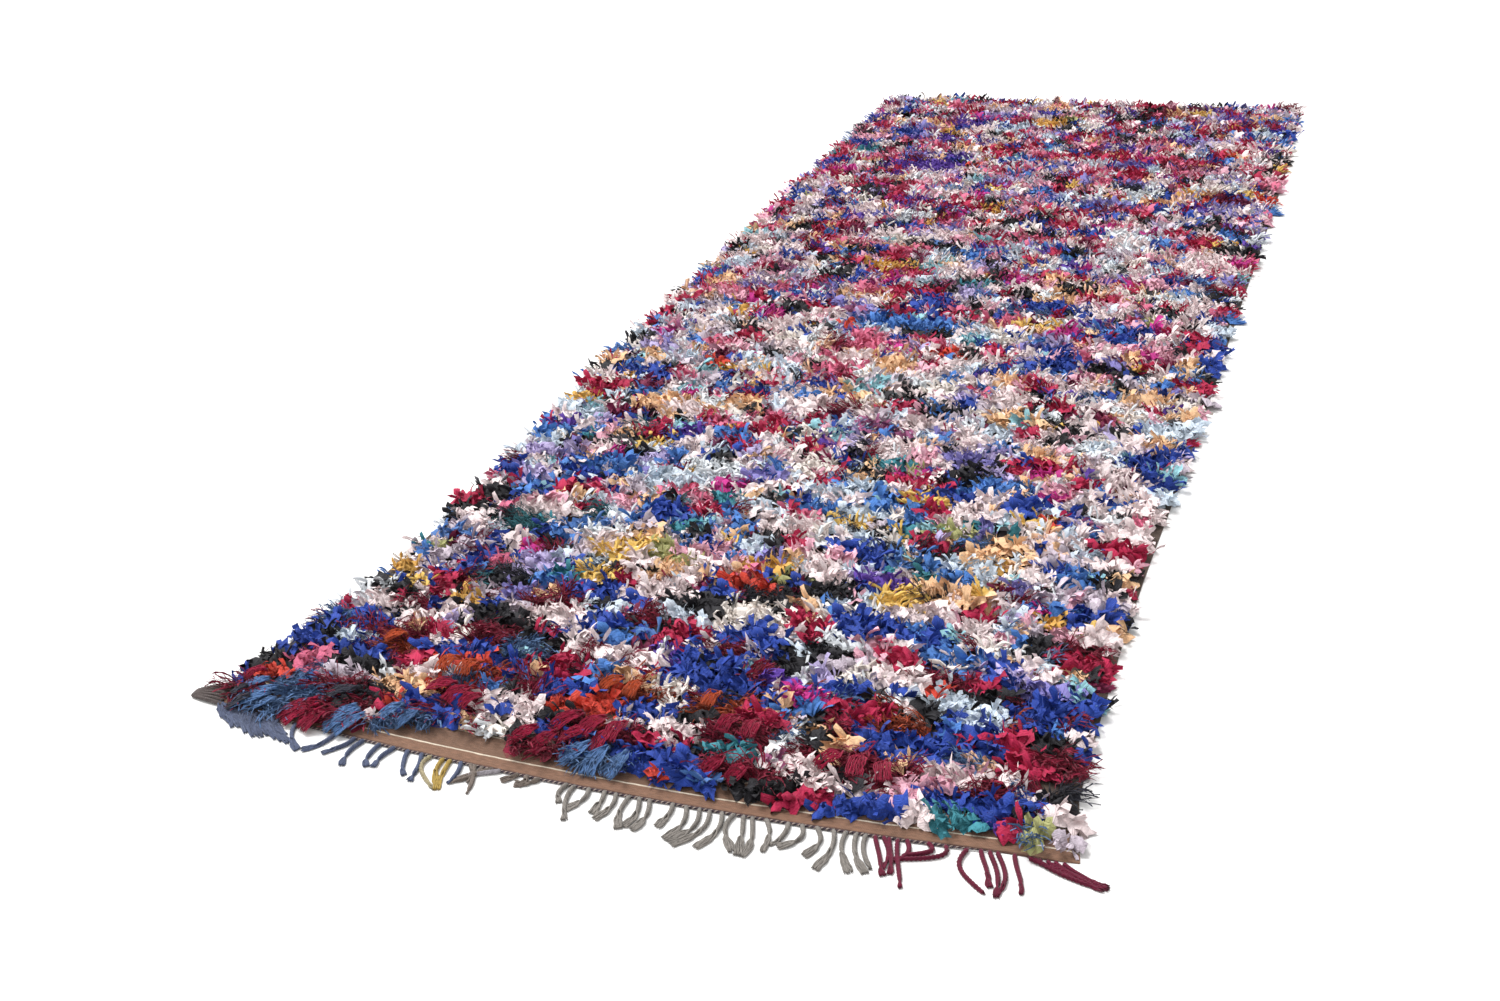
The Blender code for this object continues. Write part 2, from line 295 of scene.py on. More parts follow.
@dataclass(frozen=True)
class Outline:
    """The ground's four edges, read from its solid, as points in order."""

    left: np.ndarray
    right: np.ndarray
    near: np.ndarray
    far: np.ndarray

    @classmethod
    def of_ground(cls, node: bpy.types.Object) -> "Outline":
        """Sorts the points of the ground's solid into its edges.

        Args:
            node: the ground's solid.

        Returns:
            Its outline, each edge in order.
        """
        points = np.unique(np.array([vert.co[:2] for vert in node.data.vertices]).round(6), axis=0)
        x, y = points.T
        corner_y = min(y[x.argmin()], y[x.argmax()])
        near = points[y <= corner_y + MM]
        far = points[y >= y.max() - 20 * MM]
        sides = points[(y >= corner_y - MM) & ((x < x.min() / 2) | (x > x.max() / 2))]
        left = sides[(sides[:, 0] < 0) & (sides[:, 1] <= far[far[:, 0].argmin(), 1] + MM)]
        right = sides[(sides[:, 0] > 0) & (sides[:, 1] <= far[far[:, 0].argmax(), 1] + MM)]
        left = cls._without_middle(left, far, near, -1)
        right = cls._without_middle(right, far, near, 1)
        return cls(
            left[left[:, 1].argsort()],
            right[right[:, 1].argsort()],
            near[near[:, 0].argsort()],
            far[far[:, 0].argsort()],
        )

    @staticmethod
    def _without_middle(side: np.ndarray, far: np.ndarray, near: np.ndarray, sign: int) -> np.ndarray:
        """A side without the points of the near and far edges, but with its two corners.

        Args:
            side: the points found at that side.
            far: the far edge's points.
            near: the near edge's points.
            sign: -1 for the left side and 1 for the right one.

        Returns:
            The side's own points.
        """
        middle = (side[:, 1] > near[:, 1].max() + MM) & (side[:, 1] < far[:, 1].min() - MM)
        ends = [edge[(edge[:, 0] * sign).argmax()] for edge in (near, far)]
        return np.vstack([side[middle], ends])

    @property
    def start(self) -> float:
        """The y of the near left corner."""
        return float(self.left[0, 1])

    @property
    def length(self) -> float:
        """The way from the near left corner to the far left corner."""
        return float(self.left[-1, 1] - self.left[0, 1])

    @property
    def corner_x(self) -> float:
        """The x that distances from the corner start at."""
        return float(self.left[0, 0]) - CORNER_INSET

    def sides(self, y: np.ndarray | float) -> tuple[Any, Any]:
        """The left and right edges' x at y.

        Args:
            y: one y or many.

        Returns:
            The left edge's x and the right edge's.
        """
        return (
            np.interp(y, self.left[:, 1], self.left[:, 0]),
            np.interp(y, self.right[:, 1], self.right[:, 0]),
        )

    def near_y(self, x: np.ndarray | float) -> Any:
        """The near edge's y at x."""
        return np.interp(x, self.near[:, 0], self.near[:, 1])

    def far_y(self, x: np.ndarray | float) -> Any:
        """The far edge's y at x."""
        return np.interp(x, self.far[:, 0], self.far[:, 1])

    def place(self, across: Any, along: Any, margin: Any = 0.0) -> tuple[Any, Any]:
        """The point at shares across and along the ground, with 0 along set in by a margin.

        Args:
            across: the share from left to right.
            along: the share from near to far.
            margin: how far inside the near edge 0 along lies.

        Returns:
            The points' x and y.
        """
        left, right = self.sides(self.start + along * self.length)
        x = left + across * (right - left)
        begin = self.near_y(x) + margin
        return x, begin + along * (self.far_y(x) - begin)


class Rag(Enum):
    """The sorts of rag and yarn that are knotted into the shag."""

    WOVEN = "woven"
    JERSEY = "jersey"
    WOOL = "wool"


@dataclass(frozen=True)
class Dye:
    """One colour of rag and its share of the knots at four places along the rug."""

    name: str
    colour: str
    rag: Rag
    near: float
    lower: float
    upper: float
    far: float

    def share(self, along: np.ndarray) -> np.ndarray:
        """This dye's share of the knots at shares along the rug."""
        return np.interp(along, STATIONS, (self.near, self.lower, self.upper, self.far))


STATIONS = (0.04, 0.20, 0.60, 0.92)
DYES = (
    Dye("royal blue", "2848A8", Rag.WOVEN, 21, 6.5, 9, 10),
    Dye("cornflower blue", "4A7EC8", Rag.WOVEN, 3.5, 6.5, 5, 4),
    Dye("charcoal", "201E24", Rag.WOVEN, 16, 7.5, 10, 12),
    Dye("pinkish cream", "F8E6E6", Rag.WOVEN, 6.5, 29, 25, 24),
    Dye("ice blue", "DCE8F4", Rag.WOVEN, 1.6, 11, 7, 5),
    Dye("pale grey", "D4C6D2", Rag.WOVEN, 3, 6, 4, 4),
    Dye("blush pink", "F2B6C8", Rag.WOVEN, 1.5, 5.5, 11, 9),
    Dye("crimson", "B81C4A", Rag.WOVEN, 5, 7, 16, 22),
    Dye("rose", "DC6E8E", Rag.WOVEN, 0.8, 2.5, 8, 8),
    Dye("peach", "F6C89C", Rag.WOVEN, 4, 8, 5, 5),
    Dye("orange red", "D84432", Rag.WOVEN, 2, 0.6, 0.3, 0.3),
    Dye("gold", "E0AC54", Rag.WOVEN, 0.4, 1, 1, 1),
    Dye("teal", "3E8C9A", Rag.WOVEN, 1.5, 1.5, 0.4, 0.3),
    Dye("turquoise", "98CCD6", Rag.WOVEN, 1, 4, 1, 0.8),
    Dye("purple", "6440A8", Rag.WOVEN, 1.6, 0.8, 3.5, 5),
    Dye("periwinkle", "8C84C8", Rag.WOVEN, 0.5, 1.5, 3.5, 4.5),
    Dye("lilac", "C4B6E2", Rag.WOVEN, 1, 3, 4.5, 4.5),
    Dye("magenta", "C82C8C", Rag.WOVEN, 0.3, 1.2, 3.5, 2.2),
    Dye("olive", "B4B478", Rag.WOVEN, 0.7, 0.8, 0.2, 0.2),
    Dye("mauve", "98507A", Rag.WOVEN, 0.5, 1, 1.5, 2),
    Dye("plum", "7C1C46", Rag.WOVEN, 3, 1.5, 3.5, 4),
    Dye("cream jersey", "F8EEE6", Rag.JERSEY, 3, 5, 4, 3),
    Dye("yellow jersey", "EEC464", Rag.JERSEY, 1.2, 1.3, 0.6, 0.4),
    Dye("white jersey", "EEF2F6", Rag.JERSEY, 2, 5.5, 4, 3),
    Dye("peach jersey", "F4C4A0", Rag.JERSEY, 1, 2, 1.5, 1.5),
    Dye("black jersey", "2E2C34", Rag.JERSEY, 1.5, 1, 0.5, 0.5),
    Dye("blue jersey", "4A78BC", Rag.JERSEY, 1, 1.5, 0.8, 0.8),
    Dye("burgundy wool", "920F36", Rag.WOOL, 18, 1.2, 1, 2),
    Dye("rust wool", "B04824", Rag.WOOL, 2.5, 0, 0, 0),
    Dye("steel blue wool", "5C7EAE", Rag.WOOL, 3, 1, 0.5, 0.6),
    Dye("charcoal wool", "383844", Rag.WOOL, 1.5, 0.5, 0.5, 1),
    Dye("teal wool", "347882", Rag.WOOL, 0.8, 0.5, 0.2, 0.2),
)
DYE_PLACES = {dye.name: place for place, dye in enumerate(DYES)}


@dataclass(frozen=True)
class Patch:
    """A patch of one dye that stands out: its middle from the corner, its width and depth."""

    x: float
    y: float
    width: float
    depth: float
    dye: str


@dataclass(frozen=True)
class Atlas:
    """The map of strips: cells in rows and columns, each as long and wide as the largest strip needs."""

    columns: int
    rows: int
    cell_length: float
    cell_width: float
    margin: float = 1.5 * MM

    def strip(self, tree: bpy.types.NodeTree) -> tuple[Link, Link]:
        """Reads the map in a material.

        Args:
            tree: the material's tree.

        Returns:
            The cell's column and row as whole numbers, and the place in its strip in millimetres.
        """
        chart = add(tree, "ShaderNodeUVMap", uv_map="OFBake")
        cells = add(
            tree, VECTOR_MATHS, {0: chart, 1: (self.columns, self.rows, 1.0)}, operation="MULTIPLY"
        )
        inside = add(tree, VECTOR_MATHS, {0: cells}, operation="FRACTION")
        size = (self.cell_length / MM, self.cell_width / MM, 1.0)
        strip = add(tree, VECTOR_MATHS, {0: inside, 1: size}, operation="MULTIPLY")
        return add(tree, VECTOR_MATHS, {0: cells}, operation="FLOOR"), strip


SHADES = 4
RAG_ATLAS = Atlas(columns=8, rows=16, cell_length=75 * MM, cell_width=40 * MM)


@dataclass(frozen=True)
class Clothing:
    """A finish for rag strips: how its colour, relief and sheen read from the strip's own map."""

    name: str
    roughness: float
    sheen: float
    crinkle_mm: float
    crinkle_depth: float
    thread_mm: float
    thread_depth: float
    # How dark the painted shade at a strip's root is, where the tuft shades it.
    painted_root_shade: float = 0.74
    shade_low: float = 0.82
    shade_high: float = 1.08
    # How dark the painted shade in the gaps between fibres is; 1 paints none.
    painted_fibre_gap_shade: float = 1.0

    def material(self) -> bpy.types.Material:
        """The rag's material, worked out from millimetres along and across each strip.

        Returns:
            A Principled material whose patterns all read the strip map and the dye attribute.
        """
        made, tree, shader = new_material(self.name)
        cell, strip = RAG_ATLAS.strip(tree)
        tone = self._tone(tree, cell, strip)
        dye = add(tree, "ShaderNodeAttribute", attribute_name="dye_colour")
        coloured = add(tree, VECTOR_MATHS, {0: dye, "Scale": tone}, operation="SCALE")
        finish = {
            "Base Color": coloured,
            "Roughness": self.roughness,
            "Sheen Weight": self.sheen,
            "Sheen Roughness": 0.5,
            "Specular IOR Level": 0.3,
            "Normal": self._relief(tree, strip),
        }
        fill(tree, shader, finish)
        return made

    def _tone(self, tree: bpy.types.NodeTree, cell: Link, strip: Link) -> Link:
        """How light the dye is: the strip's random shade step, painted shade towards its root, its mottled
        cloth, and painted shade in the gaps between its fibres.

        Args:
            tree: the material's tree.
            cell: the map cell's column and row.
            strip: the place in the strip in millimetres.

        Returns:
            The factor on the dye.
        """
        column = add(tree, SEPARATE, {0: cell})
        place = add(tree, SEPARATE, {0: strip})
        shade = add(tree, MATHS, {0: column, 1: float(SHADES)}, operation="MODULO")
        step = add(
            tree,
            MAP_RANGE,
            {"Value": shade, "From Max": SHADES - 1.0, "To Min": self.shade_low, "To Max": self.shade_high},
        )
        # Painted shade: the strip darkens over its first 16 mm from the root.
        from_root = {"Value": place, "From Min": 2.0, "From Max": 16.0, "To Min": self.painted_root_shade}
        rise = add(tree, MAP_RANGE, from_root, interpolation_type="SMOOTHSTEP")
        worn = add(tree, NOISE, {"Vector": strip, "Scale": 0.2, "Detail": 3.0})
        mottle = {"Value": worn, "From Min": 0.3, "From Max": 0.7, "To Min": 0.84, "To Max": 1.1}
        worn = add(tree, MAP_RANGE, mottle)
        # Painted shade in the gaps between fibres: streaks along the strip.
        lines = add(tree, VECTOR_MATHS, {0: strip, 1: (0.12, 1.0, 1.0)}, operation="MULTIPLY")
        lines = add(tree, NOISE, {"Vector": lines, "Scale": 1 / self.thread_mm, "Detail": 1.0})
        lines = add(
            tree,
            MAP_RANGE,
            {"Value": lines, "From Min": 0.35, "From Max": 0.6, "To Min": self.painted_fibre_gap_shade, "To Max": 1.0},
        )
        tone = add(tree, MATHS, {0: step, 1: rise}, operation="MULTIPLY")
        tone = add(tree, MATHS, {0: tone, 1: worn}, operation="MULTIPLY")
        return add(tree, MATHS, {0: tone, 1: lines}, operation="MULTIPLY")

    def _relief(self, tree: bpy.types.NodeTree, strip: Link) -> Link:
        """Sharp creases of the crumpled cloth over its fine threads.

        Args:
            tree: the material's tree.
            strip: the place in the strip in millimetres.

        Returns:
            The normal.
        """
        slant = add(tree, VECTOR_MATHS, {0: strip, 1: (0.6, 1.0, 1.0)}, operation="MULTIPLY")
        cloud = add(
            tree, NOISE, {"Vector": slant, "Scale": 1 / self.crinkle_mm, "Detail": 1.0, "Distortion": 0.8}
        )
        crease = add(tree, MATHS, {0: cloud, 1: 0.5}, operation="SUBTRACT")
        crease = add(tree, MATHS, {0: crease}, operation="ABSOLUTE")
        folds = add(
            tree, "ShaderNodeBump", {"Height": crease, "Strength": 1.0, "Distance": self.crinkle_depth}
        )
        turn = math.tau / self.thread_mm
        waves = add(tree, VECTOR_MATHS, {0: strip, 1: (turn, turn, 0.0)}, operation="MULTIPLY")
        waves = add(tree, VECTOR_MATHS, {0: waves}, operation="SINE")
        split = add(tree, SEPARATE, {0: waves})
        threads = add(tree, MATHS, {0: split.outputs[0], 1: split.outputs[1]}, operation="ADD")
        return add(
            tree,
            "ShaderNodeBump",
            {"Height": threads, "Strength": 0.5, "Distance": self.thread_depth, "Normal": folds},
        )


# Thin woven cotton and nylon, torn into strips and crumpled: matt and sharply creased, with fine threads.
CRUMPLED_COTTON = Clothing(
    name="crumpled_cotton_and_nylon",
    roughness=0.72,
    sheen=0.05,
    crinkle_mm=5.0,
    crinkle_depth=4.0 * MM,
    thread_mm=1.0,
    thread_depth=0.08 * MM,
)
# Cotton jersey that has rolled up along its cut edges: soft and matt, with knitted ribs along the strip.
ROLLED_JERSEY = Clothing(
    name="rolled_cotton_jersey",
    roughness=0.85,
    sheen=0.25,
    crinkle_mm=5.0,
    crinkle_depth=1.5 * MM,
    thread_mm=1.3,
    thread_depth=0.15 * MM,
)
# Hand-spun wool, crinkled and felted by wear: no shine, fine fibres with painted shade in the gaps between
# them and at their roots.
HAND_SPUN_WOOL = Clothing(
    name="crinkled_hand_spun_wool",
    roughness=0.95,
    sheen=0.12,
    crinkle_mm=2.5,
    crinkle_depth=2.0 * MM,
    thread_mm=1.1,
    thread_depth=0.40 * MM,
    painted_root_shade=0.70,
    shade_low=0.80,
    shade_high=1.30,
    painted_fibre_gap_shade=0.45,
)


@dataclass
class Tuft:
    """The strips that stand up from one knot, drawn leaning towards +X."""

    rag: Rag
    strips: int
    length: tuple[float, float]
    width: tuple[float, float]
    rows: int
    columns: int
    lean: tuple[float, float]
    droop: tuple[float, float]
    spread: float
    root: float
    pleat: float = 0.26
    jitter: float = 1.2 * MM
    crush: tuple[float, float] = (0.0, 0.0)
    crush_height: tuple[float, float] = (11 * MM, 20 * MM)
    crush_cells: int = 4
    fold: float = 4.6 * MM
    rise: tuple[float, float] = (0.0, 0.0)
    variants: int = 12
    seed: int = 7

    def build(self, home: bpy.types.Collection) -> None:
        """Builds the tuft's variants into a collection.

        Args:
            home: the collection that gets them.
        """
        for variant in range(self.variants):
            rng = np.random.default_rng((self.seed, variant))
            bm = bmesh.new()
            shade = bm.verts.layers.int.new("strip_shade")
            chart = bm.loops.layers.uv.new("strip")
            if self.crush[1] > 0:
                self._draw_crushed(bm, rng, shade, chart)
            for _ in range(self.strips):
                self._draw(bm, rng, shade, chart)
            mesh = bpy.data.meshes.new(f"{self.rag.value}_tuft_{self.seed:02d}_{variant:02d}")
            bm.to_mesh(mesh)
            bm.free()
            home.objects.link(bpy.data.objects.new(mesh.name, mesh))

    def _course(self, rng: np.random.Generator, length: float) -> Iterator[tuple[Vector, Matrix]]:
        """The strip's middle line as it rises and droops: a point and a frame for each row.

        Args:
            rng: the source of the draws.
            length: the strip's length.

        Returns:
            The points and frames from the root to the tip.
        """
        heading = rng.normal(0.0, self.spread)
        lean = rng.uniform(*self.lean)
        droop = rng.uniform(*self.droop)
        sway = rng.normal(0.0, 0.5)
        twist = rng.normal(0.0, 0.9)
        x, y = rng.uniform(-1, 1) * self.root, rng.uniform(-1, 1) * self.root
        point = Vector((x, y, rng.uniform(*self.rise)))
        turn = rng.uniform(-1.2, 1.2)
        for row in range(self.rows + 1):
            share = row / self.rows
            tilt = lean + (droop - lean) * share**1.3
            frame_here = (
                Matrix.Rotation(heading + sway * share, 3, "Z")
                @ Matrix.Rotation(tilt, 3, "Y")
                @ Matrix.Rotation(turn + twist * share, 3, "Z")
            )
            yield point.copy(), frame_here
            point += frame_here @ Vector((0.0, 0.0, length / self.rows))

    def _draw(self, bm: bmesh.types.BMesh, rng: np.random.Generator, shade: Any, chart: Any) -> None:
        """Draws one strip as a small grid bent along its course, with its map and its shade.

        Args:
            bm: the mesh that gets the strip.
            rng: the source of the draws.
            shade: the layer of the strips' shades.
            chart: the layer of their map.
        """
        length, width = rng.uniform(*self.length), rng.uniform(*self.width)
        cloth = width * self.unrolled
        offset = rng.uniform(RAG_ATLAS.margin, max(RAG_ATLAS.cell_width - cloth - RAG_ATLAS.margin, 2 * MM))
        step = int(rng.integers(0, SHADES))
        start = len(bm.verts)
        bmesh.ops.create_grid(bm, x_segments=self.columns, y_segments=self.rows, size=0.5)
        bm.verts.ensure_lookup_table()
        verts = bm.verts[start:]
        course = list(self._course(rng, length))
        pleats = rng.uniform(0.35, 1.0, self.columns + 1) * (-1.0) ** np.arange(self.columns + 1)
        pleats = pleats * rng.choice((-1, 1))
        slant = rng.normal(0.0, 0.10) * np.linspace(-1, 1, self.columns + 1)
        cuts = rng.normal(0.0, 0.06, self.columns + 1) + slant
        places = {}
        for vert in verts:
            across, along = vert.co.x + 0.5, vert.co.y + 0.5
            column, row = round(across * self.columns), round(along * self.rows)
            point, axes = course[row]
            shift = self.section(across, along, width, float(pleats[column]), float(cuts[column]) * length)
            vert.co = point + axes @ (shift + Vector(rng.normal(0.0, self.jitter, 3)) * (0.3 + 0.7 * along))
            vert[shade] = step
            places[vert] = (along * length, offset + across * cloth)
        for face in {face for vert in verts for face in vert.link_faces}:
            for loop in face.loops:
                from_root, from_edge = places[loop.vert]
                loop[chart].uv = (
                    (RAG_ATLAS.margin + from_root) / RAG_ATLAS.cell_length,
                    from_edge / RAG_ATLAS.cell_width,
                )

    def _draw_crushed(
        self, bm: bmesh.types.BMesh, rng: np.random.Generator, shade: Any, chart: Any
    ) -> None:
        """Draws the crushed body of the tuft: a rag gathered over the knot, folded and ragged at its rim.

        Args:
            bm: the mesh that gets the body.
            rng: the source of the draws.
            shade: the layer of the strips' shades.
            chart: the layer of their map.
        """
        cells = self.crush_cells
        across_size, along_size = rng.uniform(*self.crush, 2)
        height = rng.uniform(*self.crush_height)
        step = int(rng.integers(0, SHADES))
        start = len(bm.verts)
        bmesh.ops.create_grid(bm, x_segments=cells, y_segments=cells, size=0.5)
        bm.verts.ensure_lookup_table()
        verts = bm.verts[start:]
        slope = Matrix.Rotation(rng.normal(0.0, 0.25), 3, "X")
        slope = slope @ Matrix.Rotation(rng.normal(0.15, 0.3), 3, "Y")
        middle = Vector((rng.uniform(-1, 1), rng.uniform(-1, 1), 0.0)) * self.root * 0.6
        map_width = min(across_size, RAG_ATLAS.cell_width - 4 * MM)
        places = {}
        for vert in verts:
            u, v = vert.co.x * 2, vert.co.y * 2
            places[vert] = ((v + 1) / 2 * along_size, (u + 1) / 2 * map_width)
            x, y = u * math.sqrt(1 - v * v / 2), v * math.sqrt(1 - u * u / 2)
            out = min(math.hypot(x, y), 1.0)
            ragged = 1.0 + rng.normal(0.0, 0.15) * out
            fold = rng.uniform(0.3, 1.0) * (1 if round((u + v) * cells / 2) % 2 else -1) * self.fold
            sag = 0.62 * height * out**2
            shift = Vector((x * across_size * 0.6 * ragged, y * along_size * 0.4 * ragged, fold - sag))
            shift += Vector(rng.normal(0.0, 1.1 * self.jitter, 3))
            vert.co = middle + Vector((0.0, 0.0, height)) + slope @ shift
            vert.co.z = max(vert.co.z, 1 * MM)
            vert[shade] = step
        # The crushed body sits 12 mm along its cell, where the painted root shade has mostly faded.
        for face in {face for vert in verts for face in vert.link_faces}:
            for loop in face.loops:
                from_root, from_edge = places[loop.vert]
                loop[chart].uv = (
                    (RAG_ATLAS.margin + 12 * MM + from_root) / RAG_ATLAS.cell_length,
                    (RAG_ATLAS.margin + from_edge) / RAG_ATLAS.cell_width,
                )

    @property
    def unrolled(self) -> float:
        """How much wider the cloth is than the strip it is pleated into."""
        return 1.4

    def section(self, across: float, along: float, width: float, pleat: float, cut: float) -> Vector:
        """A point of the strip's cross-section: gathered at the knot, pleated, and spread at its cut end.

        Args:
            across: the share from edge to edge.
            along: the share from root to tip.
            width: the strip's width.
            pleat: how far the pleat stands out there.
            cut: how far the cut end runs on there.

        Returns:
            The point in the frame of the strip's middle line.
        """
        side = across * 2 - 1
        half = width / 2 * (0.35 + 0.65 * min(along * 1.6, 1.0))
        fold = pleat * self.pleat * width * (0.5 + 0.5 * along)
        return Vector((fold, side * half, cut * along**3))


@dataclass
class JerseyTuft(Tuft):
    """Strips of jersey whose edges roll them into soft tubes."""

    @property
    def unrolled(self) -> float:
        """The cloth goes right round the tube."""
        return math.pi

    def section(self, across: float, along: float, width: float, pleat: float, cut: float) -> Vector:
        """A point of a tube that opens a little towards its cut end.

        Args:
            across: the share from edge to edge.
            along: the share from root to tip.
            width: the strip's width.
            pleat: how far the pleat stands out there, which a tube has none of.
            cut: how far the cut end runs on there.

        Returns:
            The point in the frame of the strip's middle line.
        """
        opening = 0.10 + 0.10 * along
        angle = math.tau * (opening / 2 + across * (1 - opening))
        radius = width / 2 * (0.75 + 0.35 * along)
        return Vector((math.cos(angle) * radius, math.sin(angle) * radius, cut * along**4))


@dataclass
class WoolTuft(Tuft):
    """Crinkled flat locks of wool fibre."""

    @property
    def unrolled(self) -> float:
        """A lock is as wide as it looks."""
        return 1.0

    def section(self, across: float, along: float, width: float, pleat: float, cut: float) -> Vector:
        """A point of a flat lock that waves to and fro as it goes.

        Args:
            across: the share from edge to edge.
            along: the share from root to tip.
            width: the strip's width.
            pleat: how far the pleat stands out there, which fibres have none of.
            cut: how far the cut end runs on there.

        Returns:
            The point in the frame of the strip's middle line.
        """
        side = across * 2 - 1
        wave = math.sin(along * 9.0) * 1.4 * MM
        return Vector((wave, side * width / 2 * (1.0 - 0.3 * along), 0.5 * cut * along))


WOVEN_TUFT = Tuft(
    rag=Rag.WOVEN,
    strips=3,
    length=(18 * MM, 31 * MM),
    width=(8 * MM, 16 * MM),
    rows=3,
    columns=2,
    lean=(0.2, 1.1),
    droop=(1.2, 2.0),
    spread=1.4,
    root=10 * MM,
    crush=(28 * MM, 42 * MM),
    rise=(4 * MM, 13 * MM),
)
SHRED_TUFT = Tuft(
    rag=Rag.WOVEN,
    strips=8,
    length=(15 * MM, 29 * MM),
    width=(2.6 * MM, 5.6 * MM),
    rows=3,
    columns=1,
    lean=(0.3, 1.15),
    droop=(1.0, 1.8),
    spread=1.2,
    root=12 * MM,
    jitter=0.7 * MM,
    crush=(28 * MM, 42 * MM),
    crush_height=(7 * MM, 14 * MM),
    crush_cells=3,
    fold=3.5 * MM,
    rise=(3 * MM, 11 * MM),
    seed=9,
)
ROLLED_TUFT = JerseyTuft(
    rag=Rag.JERSEY,
    strips=4,
    length=(24 * MM, 40 * MM),
    width=(3.6 * MM, 5.6 * MM),
    rows=4,
    columns=3,
    lean=(0.1, 0.9),
    droop=(1.0, 2.1),
    spread=1.1,
    root=7 * MM,
    crush=(24 * MM, 34 * MM),
    crush_height=(9 * MM, 15 * MM),
    crush_cells=3,
    seed=11,
)
FIBRE_TUFT = WoolTuft(
    rag=Rag.WOOL,
    strips=30,
    length=(22 * MM, 38 * MM),
    width=(1.2 * MM, 2.2 * MM),
    rows=3,
    columns=1,
    lean=(0.4, 1.2),
    droop=(1.4, 2.0),
    spread=0.55,
    root=12 * MM,
    jitter=0.3 * MM,
    crush=(24 * MM, 34 * MM),
    crush_cells=2,
    crush_height=(3 * MM, 6 * MM),
    fold=1.0 * MM,
    rise=(1 * MM, 10 * MM),
    seed=13,
)


@dataclass(frozen=True)
class Stretch:
    """A piece of the shag: its tufts and finish, how far along the rug it reaches, and its crumpling."""

    name: str
    tufts: tuple[Tuft, ...]
    finish: Clothing
    start: float = 0.0
    end: float = 1.01
    crumple: float = 4 * MM
    crumple_size: float = 17 * MM


STRETCHES = (
    Stretch("woven_rags_near", (WOVEN_TUFT, SHRED_TUFT), CRUMPLED_COTTON, end=0.25),
    Stretch("woven_rags_lower", (replace(WOVEN_TUFT, variants=5), SHRED_TUFT), CRUMPLED_COTTON, 0.25, 0.5),
    Stretch("woven_rags_upper", (SHRED_TUFT,), CRUMPLED_COTTON, 0.5, 0.75),
    Stretch("woven_rags_far", (SHRED_TUFT,), CRUMPLED_COTTON, start=0.75),
    Stretch("jersey_rags", (ROLLED_TUFT,), ROLLED_JERSEY, crumple=6 * MM, crumple_size=22 * MM),
    Stretch("wool_tufts", (FIBRE_TUFT,), HAND_SPUN_WOOL, crumple=3 * MM, crumple_size=13 * MM),
)


